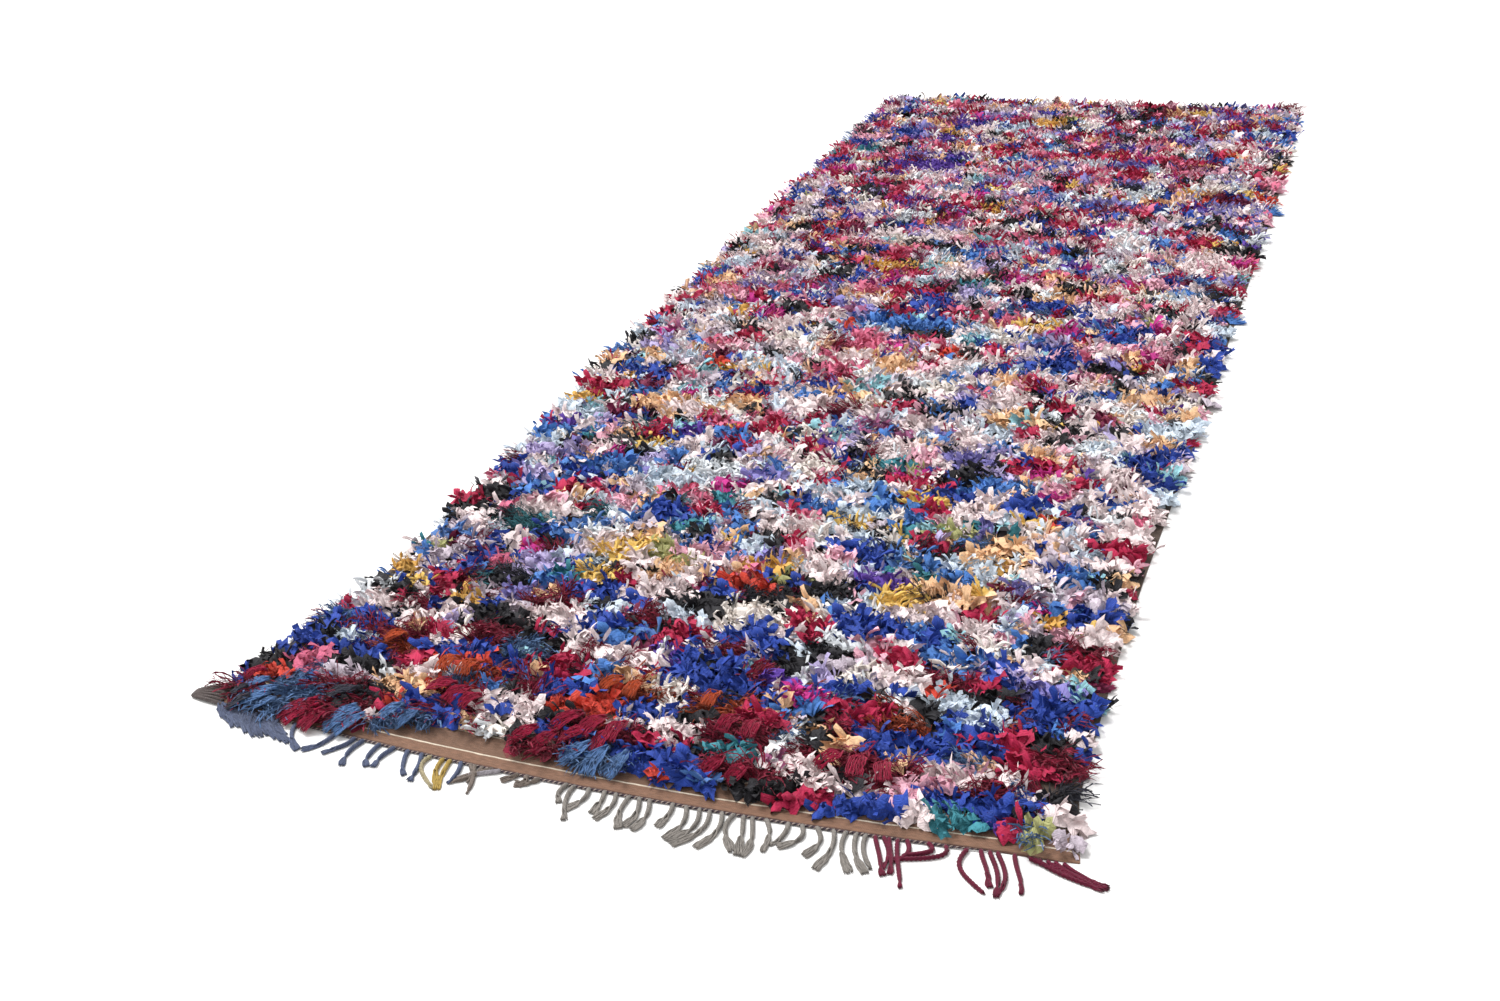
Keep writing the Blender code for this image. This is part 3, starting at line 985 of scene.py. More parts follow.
@dataclass
class Shag:
    """The rag shag: knots in rows, grouped in clumps of one dye, with a tuft on each knot."""

    columns: ClassVar[dict[str, str]] = {
        "turn": "FLOAT_VECTOR",
        "size": "FLOAT_VECTOR",
        "tuft": "INT",
        "shade": "INT",
        "dye": "INT",
        "strip_shade": "INT",
        "strip": "FLOAT_VECTOR",
    }

    outline: Outline
    row_pitch: float = 32 * MM
    knot_pitch: float = 15.2 * MM
    clump_width: float = 56 * MM
    clump_depth: float = 31 * MM
    near_clump: float = 1.02
    middle_clump: float = 0.78
    far_clump: float = 0.68
    clump_variety: float = 0.22
    stray_share: float = 0.12
    edge_margin: float = 6 * MM
    edge_lean: float = 0.30
    top: float = 42 * MM
    seed: int = 3
    kilim_depths: tuple[tuple[float, float], ...] = (
        (0.05, 0.010),
        (0.27, 0.018),
        (0.36, 0.052),
        (0.43, 0.066),
        (0.50, 0.062),
        (0.60, 0.048),
        (0.68, 0.036),
        (0.94, 0.033),
        (1.06, 0.029),
        (1.20, 0.025),
        (1.40, 0.020),
    )
    patches: tuple[Patch, ...] = (
        Patch(0.165, 0.035, 0.150, 0.060, "steel blue wool"),
        Patch(0.270, 0.020, 0.130, 0.055, "burgundy wool"),
        Patch(0.385, 0.030, 0.110, 0.040, "steel blue wool"),
        Patch(0.235, 0.080, 0.110, 0.050, "burgundy wool"),
        Patch(0.437, 0.100, 0.130, 0.050, "burgundy wool"),
        Patch(0.690, 0.080, 0.150, 0.060, "burgundy wool"),
        Patch(0.620, 0.035, 0.100, 0.040, "burgundy wool"),
        Patch(0.720, 0.030, 0.120, 0.045, "steel blue wool"),
        Patch(0.893, 0.139, 0.110, 0.045, "burgundy wool"),
        Patch(0.914, 0.045, 0.130, 0.045, "burgundy wool"),
        Patch(1.089, 0.100, 0.150, 0.055, "burgundy wool"),
        Patch(0.279, 0.209, 0.090, 0.050, "rust wool"),
        Patch(0.405, 0.168, 0.110, 0.050, "rust wool"),
        Patch(0.688, 0.185, 0.120, 0.050, "rust wool"),
        Patch(0.841, 0.190, 0.120, 0.045, "rust wool"),
        Patch(0.211, 0.181, 0.100, 0.050, "royal blue"),
        Patch(0.352, 0.213, 0.110, 0.050, "royal blue"),
        Patch(0.586, 0.161, 0.120, 0.050, "royal blue"),
        Patch(0.797, 0.238, 0.170, 0.060, "royal blue"),
        Patch(1.119, 0.170, 0.170, 0.080, "royal blue"),
        Patch(1.089, 0.020, 0.130, 0.045, "royal blue"),
        Patch(0.983, 0.448, 0.170, 0.075, "royal blue"),
        Patch(0.538, 0.439, 0.160, 0.070, "royal blue"),
        Patch(0.714, 0.516, 0.070, 0.070, "royal blue"),
        Patch(0.256, 0.030, 0.090, 0.030, "charcoal"),
        Patch(0.242, 0.063, 0.075, 0.032, "royal blue"),
        Patch(0.944, 0.015, 0.110, 0.040, "charcoal"),
        Patch(0.912, 0.350, 0.110, 0.050, "charcoal"),
        Patch(0.685, 0.455, 0.120, 0.060, "charcoal"),
        Patch(0.888, 0.539, 0.090, 0.060, "charcoal"),
        Patch(0.343, 0.150, 0.120, 0.040, "pinkish cream"),
        Patch(0.523, 0.120, 0.100, 0.050, "pinkish cream"),
        Patch(0.796, 0.104, 0.090, 0.050, "pinkish cream"),
        Patch(0.606, 0.470, 0.130, 0.050, "pinkish cream"),
        Patch(0.862, 0.600, 0.090, 0.080, "pinkish cream"),
        Patch(1.047, 0.515, 0.120, 0.080, "pinkish cream"),
        Patch(0.320, 0.100, 0.130, 0.035, "peach"),
        Patch(1.021, 0.030, 0.070, 0.040, "crimson"),
        Patch(0.691, 0.356, 0.100, 0.060, "crimson"),
        Patch(0.892, 0.085, 0.080, 0.035, "teal"),
        Patch(0.174, 0.065, 0.060, 0.030, "yellow jersey"),
        Patch(1.003, 0.550, 0.090, 0.050, "yellow jersey"),
        Patch(0.970, 0.135, 0.080, 0.040, "white jersey"),
        Patch(1.300, 0.046, 0.060, 0.030, "purple"),
        Patch(1.220, -0.009, 0.045, 0.030, "purple"),
        Patch(1.353, 0.045, 0.045, 0.030, "olive"),
        Patch(1.194, 0.000, 0.050, 0.030, "olive"),
        Patch(1.330, 0.000, 0.075, 0.045, "royal blue"),
        Patch(1.322, 0.161, 0.075, 0.040, "crimson"),
        Patch(1.371, 0.098, 0.080, 0.030, "charcoal"),
        Patch(0.765, 0.590, 0.120, 0.050, "gold"),
        Patch(0.756, 0.535, 0.110, 0.045, "orange red"),
        Patch(0.700, 1.700, 0.300, 0.060, "cornflower blue"),
        Patch(0.980, 1.860, 0.220, 0.050, "royal blue"),
        Patch(0.870, 2.020, 0.090, 0.050, "magenta"),
        Patch(0.560, 1.960, 0.080, 0.050, "magenta"),
        Patch(0.500, 2.560, 0.500, 0.035, "crimson"),
        Patch(0.400, 2.900, 0.240, 0.110, "purple"),
        Patch(1.000, 3.020, 0.720, 0.028, "crimson"),
        Patch(1.020, 2.975, 0.640, 0.026, "royal blue"),
    )

    def knots(self) -> dict[str, np.ndarray]:
        """Sets out the knots in rows that follow the near edge's bow.

        Returns:
            The knots' places, their rows' places, shares along the rug and ways out of it.
        """
        rng = np.random.default_rng(self.seed)
        rows = round(self.outline.length / self.row_pitch)
        columns = round(2 * NEAR_HALF / self.knot_pitch)
        shape = (rows, columns)
        row_along = np.broadcast_to((np.arange(rows)[:, None] + 0.5) / rows, shape).ravel()
        along = np.clip(row_along + rng.normal(0, 0.17, rows * columns) / rows, 0.0, 1.0)
        across = (np.arange(columns)[None, :] + rng.uniform(0.0, 1.0, (rows, 1))) / columns
        across = np.clip(across + rng.normal(0, 0.2, shape) / columns, 0.003, 0.997).ravel()
        depth = np.array([eased(self.kilim_depths, share * 2 * NEAR_HALF) for share in across])
        x, y = self.outline.place(across, along, depth)
        row_y = self.outline.place(across, row_along, depth)[1]
        left, right = self.outline.sides(y)
        beside = self._near(right - x) - self._near(x - left)
        beyond = self._near(self.outline.far_y(x) - y) - self._near(y - self.outline.near_y(x) - depth)
        out = np.stack([beside, beyond], 1)
        keep = (x - left > self.edge_margin) & (right - x > self.edge_margin)
        measures = {"x": x, "y": y, "row_y": row_y, "along": along, "out": out}
        return {name: values[keep] for name, values in measures.items()}

    @staticmethod
    def _near(distance: np.ndarray) -> np.ndarray:
        """1 at an edge of the shag, fading to 0 some 45 mm inside."""
        return np.clip(1 - distance / (45 * MM), 0.0, 1.0)

    def dyes(self, knots: dict[str, np.ndarray]) -> np.ndarray:
        """Chooses each knot's dye by clump, with strays, then lays the patches that stand out.

        Args:
            knots: the places from knots().

        Returns:
            The place in DYES of each knot's dye.
        """
        rng = np.random.default_rng((self.seed, 1))
        low = self.outline.start - NEAR_BOW
        width, depth = 2 * NEAR_HALF, self.outline.length + NEAR_BOW
        count = round(width * depth / (self.clump_width * self.clump_depth) / self.far_clump**2)
        left = self.outline.corner_x
        seeds = rng.uniform((left, low), (left + width, low + depth), (count, 2))
        scale = self._clump_scale((seeds[:, 1] - self.outline.start) / self.outline.length)
        seeds = seeds[rng.uniform(size=count) < (self.far_clump / scale) ** 2]
        tree = kdtree.KDTree(len(seeds))
        for place, (x, y) in enumerate(seeds):
            tree.insert((x / self.clump_width, y / self.clump_depth, 0.0), place)
        tree.balance()
        seed_dyes = self._draw(rng, (seeds[:, 1] - self.outline.start) / self.outline.length)
        own = self._draw(rng, knots["along"])
        chosen = np.empty(len(own), int)
        reach = rng.exponential(self.clump_variety, len(seeds))
        noise.seed_set(self.seed)
        for place, (x, y) in enumerate(zip(knots["x"], knots["row_y"])):
            warp = noise.noise_vector(Vector((x, y, 0.0)) / (50 * MM)) * 0.25
            around = tree.find_n((x / self.clump_width + warp.x, y / self.clump_depth + warp.y, 0.0), 6)
            chosen[place] = seed_dyes[min(around, key=lambda found: found[2] - reach[found[1]])[1]]
        strays = rng.uniform(size=len(own)) < self.stray_share
        chosen[strays] = own[strays]
        for patch in self.patches:
            chosen[self._under(patch, knots, rng)] = DYE_PLACES[patch.dye]
        return chosen

    def _clump_scale(self, along: np.ndarray) -> np.ndarray:
        """How large the clumps are at shares along the rug: largest near, smallest far."""
        return np.interp(along, (0.05, 0.28, 0.85), (self.near_clump, self.middle_clump, self.far_clump))

    def _under(self, patch: Patch, knots: dict[str, np.ndarray], rng: np.random.Generator) -> np.ndarray:
        """Which knots lie under a patch with a ragged edge.

        Args:
            patch: the patch.
            knots: the places from knots().
            rng: the source of the draws.

        Returns:
            True for each knot under it.
        """
        across = (knots["x"] - self.outline.corner_x - patch.x) / (patch.width / 2)
        deep = (knots["row_y"] - self.outline.start - patch.y) / (patch.depth / 2)
        return across**2 + deep**2 < rng.uniform(0.5, 1.3, len(across))

    @staticmethod
    def _draw(rng: np.random.Generator, along: np.ndarray) -> np.ndarray:
        """Draws a dye for each share along the rug, by the dyes' shares there."""
        shares = np.cumsum([dye.share(along) for dye in DYES], axis=0)
        return (shares < rng.uniform(size=len(along)) * shares[-1]).sum(axis=0)

    def recipe(self) -> Recipe:
        """The tree that sets a tuft on each knot, crumples it and lays out its map.

        Returns:
            The recipe, whose inputs are the tufts, how they crumple, their lowest and highest point and
            their material.
        """
        recipe = Recipe(
            "rag_tufts",
            {
                "Tufts": "NodeSocketCollection",
                "Crumple": "NodeSocketFloat",
                "Crumple Size": "NodeSocketFloat",
                "Top": "NodeSocketFloat",
                "Floor": "NodeSocketFloat",
                "Material": "NodeSocketMaterial",
            },
            self.columns,
        )
        tree, inputs, own = recipe.tree, recipe.inputs, recipe.own
        tufts = add(
            tree,
            "GeometryNodeCollectionInfo",
            {"Collection": inputs["Tufts"], "Separate Children": True, "Reset Children": True},
        )
        turn = add(tree, "FunctionNodeEulerToRotation", {0: own["turn"]})
        placed = add(
            tree,
            "GeometryNodeInstanceOnPoints",
            {
                "Points": inputs["Geometry"],
                "Instance": tufts,
                "Pick Instance": True,
                "Instance Index": own["tuft"],
                "Rotation": turn,
                "Scale": own["size"],
            },
        )
        real = add(tree, "GeometryNodeRealizeInstances", {"Geometry": placed})
        mapped = add(
            tree,
            STORE,
            {"Geometry": self._crumple(recipe, real), "Name": "OFBake", "Value": self._cell(recipe)},
            data_type="FLOAT2",
            domain="CORNER",
        )
        recipe.finish(mapped)
        return recipe

    @staticmethod
    def _crumple(recipe: Recipe, geometry: Link) -> Link:
        """Moves each point a little way, more towards the top, and keeps it between floor and top.

        Args:
            recipe: the recipe that crumples.
            geometry: the tufts as real meshes.

        Returns:
            The crumpled tufts.
        """
        tree, inputs = recipe.tree, recipe.inputs
        place = add(tree, "GeometryNodeInputPosition")
        scale = add(tree, MATHS, {0: 1.0, 1: inputs["Crumple Size"]}, operation="DIVIDE")
        cloud = add(tree, NOISE, {"Vector": place, "Scale": scale, "Detail": 2.0}).outputs["Color"]
        centred = add(tree, VECTOR_MATHS, {0: cloud, 1: (0.5, 0.5, 0.5)}, operation="SUBTRACT")
        height = add(tree, SEPARATE, {0: place}).outputs[2]
        rise = add(tree, MAP_RANGE, {"Value": height, "From Min": 4 * MM, "From Max": 18 * MM})
        amount = add(tree, MATHS, {0: rise, 1: inputs["Crumple"]}, operation="MULTIPLY")
        offset = add(tree, VECTOR_MATHS, {0: centred, "Scale": amount}, operation="SCALE")
        moved = add(tree, VECTOR_MATHS, {0: place, 1: offset}, operation="ADD")
        split = add(tree, SEPARATE, {0: moved}).outputs
        level = add(tree, MATHS, {0: split[2], 1: inputs["Top"], 2: 8 * MM}, operation="SMOOTH_MIN")
        level = add(tree, MATHS, {0: level, 1: inputs["Floor"]}, operation="MAXIMUM")
        kept = add(tree, COMBINE, {0: split[0], 1: split[1], 2: level})
        return add(tree, "GeometryNodeSetPosition", {"Geometry": geometry, "Position": kept})

    @staticmethod
    def _cell(recipe: Recipe) -> Link:
        """Works out the place of a strip's point in the cell of its dye and shade.

        Args:
            recipe: the recipe that lays out the map.

        Returns:
            The point's place on the map.
        """
        tree, own = recipe.tree, recipe.own
        shades, columns = float(SHADES), float(RAG_ATLAS.columns)
        step = add(tree, MATHS, {0: own["shade"], 1: own["strip_shade"]}, operation="ADD")
        step = add(tree, MATHS, {0: step, 1: shades}, operation="MODULO")
        index = add(tree, MATHS, {0: own["dye"], 1: shades, 2: step}, operation="MULTIPLY_ADD")
        column = add(tree, MATHS, {0: index, 1: columns}, operation="MODULO")
        row = add(tree, MATHS, {0: index, 1: columns}, operation="DIVIDE")
        row = add(tree, MATHS, {0: row}, operation="FLOOR")
        corner = add(tree, COMBINE, {0: column, 1: row})
        cell = add(tree, VECTOR_MATHS, {0: corner, 1: own["strip"]}, operation="ADD")
        share = (1 / RAG_ATLAS.columns, 1 / RAG_ATLAS.rows, 0.0)
        return add(tree, VECTOR_MATHS, {0: cell, 1: share}, operation="MULTIPLY")

    def source(
        self, knots: dict[str, np.ndarray], dyes: np.ndarray, pick: np.ndarray, variants: int
    ) -> bpy.types.Object:
        """Makes the object of bare knots that the recipe runs on.

        Args:
            knots: the places from knots().
            dyes: each knot's dye.
            pick: which knots go into this piece.
            variants: how many variants there are of the tufts that they carry.

        Returns:
            A mesh object of loose points with the recipe's attributes.
        """
        rng = np.random.default_rng((self.seed, 2, int(pick.sum())))
        count = int(pick.sum())
        out = knots["out"][pick]
        heading = rng.uniform(-math.pi, math.pi, count)
        pull = np.stack([2.0 * np.cos(heading), 0.7 * np.sin(heading)], 1) + (0.0, -0.35) + out * 3.0
        heading = np.arctan2(pull[:, 1], pull[:, 0])
        edge = np.clip(np.hypot(*out.T), 0.0, 1.0)
        tilt = rng.normal(0.0, 0.16, count) + edge * self.edge_lean
        spots = zip(knots["x"][pick], knots["y"][pick])
        loft = 1.0 + 0.18 * np.array([noise.noise(Vector((x, y, 3.0)) / (70 * MM)) for x, y in spots])
        size = rng.uniform(0.80, 1.18, count) * loft
        colours = np.array([linear(dye.colour) for dye in DYES])[dyes[pick]]
        mesh = bpy.data.meshes.new("knots")
        mesh.vertices.add(count)
        places = np.stack([knots["x"][pick], knots["y"][pick], np.full(count, GROUND_TOP)], 1)
        mesh.vertices.foreach_set("co", places.astype(np.float32).ravel())
        turn = np.stack([rng.normal(0.0, 0.12, count), tilt, heading], 1)
        columns = {
            "turn": ("FLOAT_VECTOR", "vector", turn),
            "size": ("FLOAT_VECTOR", "vector", np.stack([size, size, size], 1)),
            "dye_colour": ("FLOAT_COLOR", "color", colours),
            "tuft": ("INT", "value", rng.integers(0, variants, count)),
            "shade": ("INT", "value", rng.integers(0, SHADES, count)),
            "dye": ("INT", "value", dyes[pick]),
        }
        for name, (kind, key, values) in columns.items():
            column = mesh.attributes.new(name, kind, "POINT")
            column.data.foreach_set(key, np.ascontiguousarray(values).ravel())
        return set_out("knots", mesh)

    def build(self) -> list[bpy.types.Object]:
        """Builds the whole shag, in pieces by sort of rag and stretch of the rug.

        Returns:
            The finished pieces.
        """
        knots = self.knots()
        dyes = self.dyes(knots)
        sorts = np.array([dye.rag.value for dye in DYES])[dyes]
        recipe = self.recipe()
        finishes = (CRUMPLED_COTTON, ROLLED_JERSEY, HAND_SPUN_WOOL)
        materials = {finish.name: finish.material() for finish in finishes}
        pieces = []
        for stretch in STRETCHES:
            pick = sorts == stretch.tufts[0].rag.value
            pick &= (knots["along"] >= stretch.start) & (knots["along"] < stretch.end)
            home = bpy.data.collections.new(f"{stretch.name}_tufts")
            bpy.context.scene.collection.children.link(home)
            for tuft in stretch.tufts:
                tuft.build(home)
            piece = recipe.run(
                self.source(knots, dyes, pick, len(home.objects)),
                stretch.name,
                Tufts=home,
                Crumple=stretch.crumple,
                Crumple_Size=stretch.crumple_size,
                Top=self.top,
                Floor=GROUND_TOP,
                Material=materials[stretch.finish.name],
            )
            dress(piece, "pile", ("pile",))
            pieces.append(piece)
            for leftover in list(home.objects):
                bpy.data.objects.remove(leftover, do_unlink=True)
            bpy.data.collections.remove(home)
        return pieces


@dataclass(frozen=True)
class SpunYarn:
    """A finish for twisted yarns, whose fibres wind round each yarn, with painted shade where they meet."""

    name: str
    roughness: float
    sheen: float
    fibre_mm: float
    fibre_depth: float
    painted_gap_shade: float
    tone_low: float
    tone_high: float

    def material(self, atlas: Atlas) -> bpy.types.Material:
        """The yarn's material.

        Args:
            atlas: the map of the yarns that wear it.

        Returns:
            A Principled material whose fibres follow the yarns and whose colour is the yarn's own.
        """
        made, tree, shader = new_material(self.name)
        cell, strip = atlas.strip(tree)
        place = add(tree, SEPARATE, {0: strip})
        slant = add(
            tree, MATHS, {0: place.outputs[0], 1: 0.6, 2: place.outputs[1]}, operation="MULTIPLY_ADD"
        )
        stretched = add(tree, MATHS, {0: place.outputs[0], 1: 0.08}, operation="MULTIPLY")
        own = add(tree, "ShaderNodeTexWhiteNoise", {"Vector": cell}, noise_dimensions="3D").outputs["Value"]
        lines = add(tree, COMBINE, {0: stretched, 1: slant, 2: own})
        fibres = add(tree, NOISE, {"Vector": lines, "Scale": 1 / self.fibre_mm, "Detail": 2.0})
        # Painted shade in the gaps between the fibres that wind round each yarn.
        gaps = add(
            tree,
            MAP_RANGE,
            {"Value": fibres, "From Min": 0.32, "From Max": 0.56, "To Min": self.painted_gap_shade, "To Max": 1.06},
        )
        tone = add(tree, MAP_RANGE, {"Value": own, "To Min": self.tone_low, "To Max": self.tone_high})
        tone = add(tree, MATHS, {0: gaps, 1: tone}, operation="MULTIPLY")
        dye = add(tree, "ShaderNodeAttribute", attribute_name="dye_colour")
        coloured = add(tree, VECTOR_MATHS, {0: dye, "Scale": tone}, operation="SCALE")
        relief = {"Height": fibres, "Strength": 1.0, "Distance": self.fibre_depth}
        finish = {
            "Base Color": coloured,
            "Roughness": self.roughness,
            "Sheen Weight": self.sheen,
            "Specular IOR Level": 0.25,
            "Normal": add(tree, "ShaderNodeBump", relief),
        }
        fill(tree, shader, finish)
        return made


# Hand-spun warp wool, two-plied and left as a fringe: matt, with winding fibres and painted shade in the
# grooves between them.
WARP_WOOL = SpunYarn(
    name="plied_warp_wool",
    roughness=0.92,
    sheen=0.14,
    fibre_mm=0.8,
    fibre_depth=0.8 * MM,
    painted_gap_shade=0.62,
    tone_low=0.82,
    tone_high=1.12,
)
# The same wool twined hard along the end: closer, with painted shade in the grooves between its fibres,
# which are a little paler than the dye.
TWINED_WOOL = SpunYarn(
    name="hard_twined_wool",
    roughness=0.90,
    sheen=0.20,
    fibre_mm=0.7,
    fibre_depth=0.5 * MM,
    painted_gap_shade=0.66,
    tone_low=0.90,
    tone_high=1.08,
)
# Loose pile wool, barely spun: long soft fibres with painted shade in the deep gaps between them.
PILE_WOOL = SpunYarn(
    name="loose_pile_wool",
    roughness=0.95,
    sheen=0.15,
    fibre_mm=0.8,
    fibre_depth=0.6 * MM,
    painted_gap_shade=0.60,
    tone_low=0.76,
    tone_high=1.28,
)


@dataclass(frozen=True)
class YarnPath:
    """The middle line of a strand and how its yarns lie along it."""

    points: np.ndarray
    colour: str
    twist: float
    opening: float = 2.0
    spread: float = 0.0
    phase: float = 0.0


@dataclass
class TwistedYarns:
    """Yarns that wind round each of many paths and open into a tassel towards the end."""

    columns: ClassVar[tuple[str, ...]] = (
        "way", "share", "twist", "opening", "spread", "phase", "strand", "around", "cell",
    )

    yarns: int
    points: int
    sides: int
    yarn_radius: float
    coil_radius: float
    fuzz: float
    atlas: Atlas

    def build(self, name: str, paths: list[YarnPath], finish: SpunYarn) -> bpy.types.Object:
        """Builds the yarns of all paths as one mesh.

        Args:
            name: the piece's name.
            paths: the strands' middle lines.
            finish: the yarns' finish.

        Returns:
            The finished piece.
        """
        return self.recipe().run(
            self._source(paths),
            name,
            Yarns=self.yarns,
            Points=self.points,
            Sides=self.sides + 1,
            Yarn_Radius=self.yarn_radius,
            Coil_Radius=self.coil_radius,
            Fuzz=self.fuzz,
            Material=finish.material(self.atlas),
        )

    @staticmethod
    def _source(paths: list[YarnPath]) -> bpy.types.Object:
        """A mesh of bare edges along the paths, with what the tree reads stored on its points.

        Args:
            paths: the strands' middle lines.

        Returns:
            An object that holds that mesh.
        """
        points = np.concatenate([path.points for path in paths])
        columns: dict[str, list[np.ndarray]] = {}
        edges, first = [], 0
        for strand, path in enumerate(paths):
            count = len(path.points)
            way = np.concatenate([[0.0], np.cumsum(np.linalg.norm(np.diff(path.points, axis=0), axis=1))])
            edges += [(first + place, first + place + 1) for place in range(count - 1)]
            first += count
            constants = {
                "twist": path.twist * math.tau,
                "opening": path.opening,
                "spread": path.spread,
                "phase": path.phase,
                "strand": float(strand),
            }
            columns.setdefault("way", []).append(way)
            columns.setdefault("share", []).append(way / way[-1])
            columns.setdefault("dye_colour", []).append(np.tile(linear(path.colour), (count, 1)))
            for key, value in constants.items():
                columns.setdefault(key, []).append(np.full(count, value))
        mesh = bpy.data.meshes.new("paths")
        mesh.from_pydata(points.tolist(), edges, [])
        for key, values in columns.items():
            kind, slot = ("FLOAT_COLOR", "color") if key == "dye_colour" else ("FLOAT", "value")
            column = mesh.attributes.new(key, kind, "POINT")
            column.data.foreach_set(slot, np.concatenate(values).astype(np.float32).ravel())
        return set_out("paths", mesh)

    def recipe(self) -> Recipe:
        """The tree that winds yarns round each path, opens them, and lays out their map.

        Returns:
            The recipe, whose inputs are the yarns' count, points, sides, radii, fuzz and material.
        """
        recipe = Recipe(
            "twisted_yarns",
            {
                "Yarns": "NodeSocketInt",
                "Points": "NodeSocketInt",
                "Sides": "NodeSocketInt",
                "Yarn Radius": "NodeSocketFloat",
                "Coil Radius": "NodeSocketFloat",
                "Fuzz": "NodeSocketFloat",
                "Material": "NodeSocketMaterial",
            },
            dict.fromkeys(self.columns, "FLOAT"),
        )
        tree, inputs = recipe.tree, recipe.inputs
        curve = add(tree, "GeometryNodeMeshToCurve", {"Mesh": inputs["Geometry"]})
        even = add(tree, "GeometryNodeResampleCurve", {"Curve": curve, "Count": inputs["Points"]})
        each = {"Geometry": even, "Amount": inputs["Yarns"]}
        copies = add(tree, "GeometryNodeDuplicateElements", each, domain="SPLINE").outputs
        index = copies["Duplicate Index"]
        strand = recipe.own["strand"]
        cell = add(tree, MATHS, {0: strand, 1: inputs["Yarns"], 2: index}, operation="MULTIPLY_ADD")
        counted = add(
            tree,
            STORE,
            {"Geometry": copies["Geometry"], "Name": "cell", "Value": cell},
            data_type="FLOAT",
            domain="POINT",
        )
        wound = self._wind(recipe, counted, index)
        tube = add(
            tree,
            "GeometryNodeCurveToMesh",
            {"Curve": wound, "Profile Curve": self._ring(recipe), "Scale": self._thickness(recipe)},
        )
        mapped = add(
            tree,
            STORE,
            {"Geometry": tube, "Name": "OFBake", "Value": self._cell(recipe)},
            data_type="FLOAT2",
            domain="CORNER",
        )
        closed = add(tree, "GeometryNodeMergeByDistance", {"Geometry": mapped, "Distance": 0.02 * MM})
        recipe.finish(closed)
        return recipe

    @staticmethod
    def _thickness(recipe: Recipe) -> Link:
        """Works out a yarn's radius along its way, drawn in to a point at both ends.

        Args:
            recipe: the recipe that draws the yarns.

        Returns:
            The radius at each point.
        """
        tree, share = recipe.tree, recipe.own["share"]
        left = add(tree, MATHS, {0: 1.0, 1: share}, operation="SUBTRACT")
        tip = add(tree, MATHS, {0: left, 1: 14.0}, operation="MULTIPLY")
        root = add(tree, MATHS, {0: share, 1: 200.0}, operation="MULTIPLY")
        ends = add(tree, MATHS, {0: tip, 1: root}, operation="MINIMUM")
        ends = add(tree, MATHS, {0: ends, 1: 1.0}, operation="MINIMUM")
        ends = add(tree, MATHS, {0: ends, 1: 0.005}, operation="MAXIMUM")
        return add(tree, MATHS, {0: ends, 1: recipe.inputs["Yarn Radius"]}, operation="MULTIPLY")

    def _wind(self, recipe: Recipe, geometry: Link, index: Link) -> Link:
        """Moves each yarn off its path: in a coil along the neck, and side by side in the tassel.

        Args:
            recipe: the recipe that winds the yarns.
            geometry: the yarns' curves, each still on its path.
            index: which of its strand's yarns a curve is.

        Returns:
            The wound curves.
        """
        tree, inputs, own = recipe.tree, recipe.inputs, recipe.own
        end = add(tree, MATHS, {0: own["opening"], 1: 0.4}, operation="ADD")
        opened = add(
            tree,
            MAP_RANGE,
            {"Value": own["share"], "From Min": own["opening"], "From Max": end},
            interpolation_type="SMOOTHSTEP",
        )
        order = add(tree, MATHS, {0: index, 1: inputs["Yarns"]}, operation="DIVIDE")
        beside, over = self._coil(recipe, order, opened)
        tangent = add(tree, "GeometryNodeInputTangent")
        side = add(tree, VECTOR_MATHS, {0: tangent, 1: (0.0, 0.0, 1.0)}, operation="CROSS_PRODUCT")
        side = add(tree, VECTOR_MATHS, {0: side}, operation="NORMALIZE")
        shift = add(tree, VECTOR_MATHS, {0: side, "Scale": beside}, operation="SCALE")
        lift = add(tree, COMBINE, {2: over})
        total = add(tree, "GeometryNodeInputPosition")
        for part in (shift, lift, self._waver(recipe, opened)):
            total = add(tree, VECTOR_MATHS, {0: total, 1: part}, operation="ADD")
        split = add(tree, SEPARATE, {0: total}).outputs
        level = add(tree, MATHS, {0: split[2], 1: inputs["Yarn Radius"]}, operation="MAXIMUM")
        kept = add(tree, COMBINE, {0: split[0], 1: split[1], 2: level})
        return add(tree, "GeometryNodeSetPosition", {"Geometry": geometry, "Position": kept})

    @staticmethod
    def _coil(recipe: Recipe, order: Link, opened: Link) -> tuple[Link, Link]:
        """Works out how far a yarn lies beside its path and over it.

        Args:
            recipe: the recipe that winds the yarns.
            order: the yarn's share of the way through its strand.
            opened: how far the strand has opened there.

        Returns:
            The distance beside the path and the distance over it.
        """
        tree, own = recipe.tree, recipe.own
        angle = add(tree, MATHS, {0: order, 1: math.tau, 2: own["phase"]}, operation="MULTIPLY_ADD")
        angle = add(tree, MATHS, {0: own["twist"], 1: own["way"], 2: angle}, operation="MULTIPLY_ADD")
        closed = add(tree, MATHS, {0: 1.0, 1: opened}, operation="SUBTRACT")
        coil = add(tree, MATHS, {0: closed, 1: recipe.inputs["Coil Radius"]}, operation="MULTIPLY")
        distances = []
        for operation in ("COSINE", "SINE"):
            turned = add(tree, MATHS, {0: angle}, operation=operation)
            distances.append(add(tree, MATHS, {0: turned, 1: coil}, operation="MULTIPLY"))
        beside, over = distances
        fan = add(tree, MATHS, {0: order, 1: 0.42}, operation="SUBTRACT")
        fan = add(tree, MATHS, {0: fan, 1: own["spread"]}, operation="MULTIPLY")
        beside = add(tree, MATHS, {0: fan, 1: opened, 2: beside}, operation="MULTIPLY_ADD")
        return beside, over

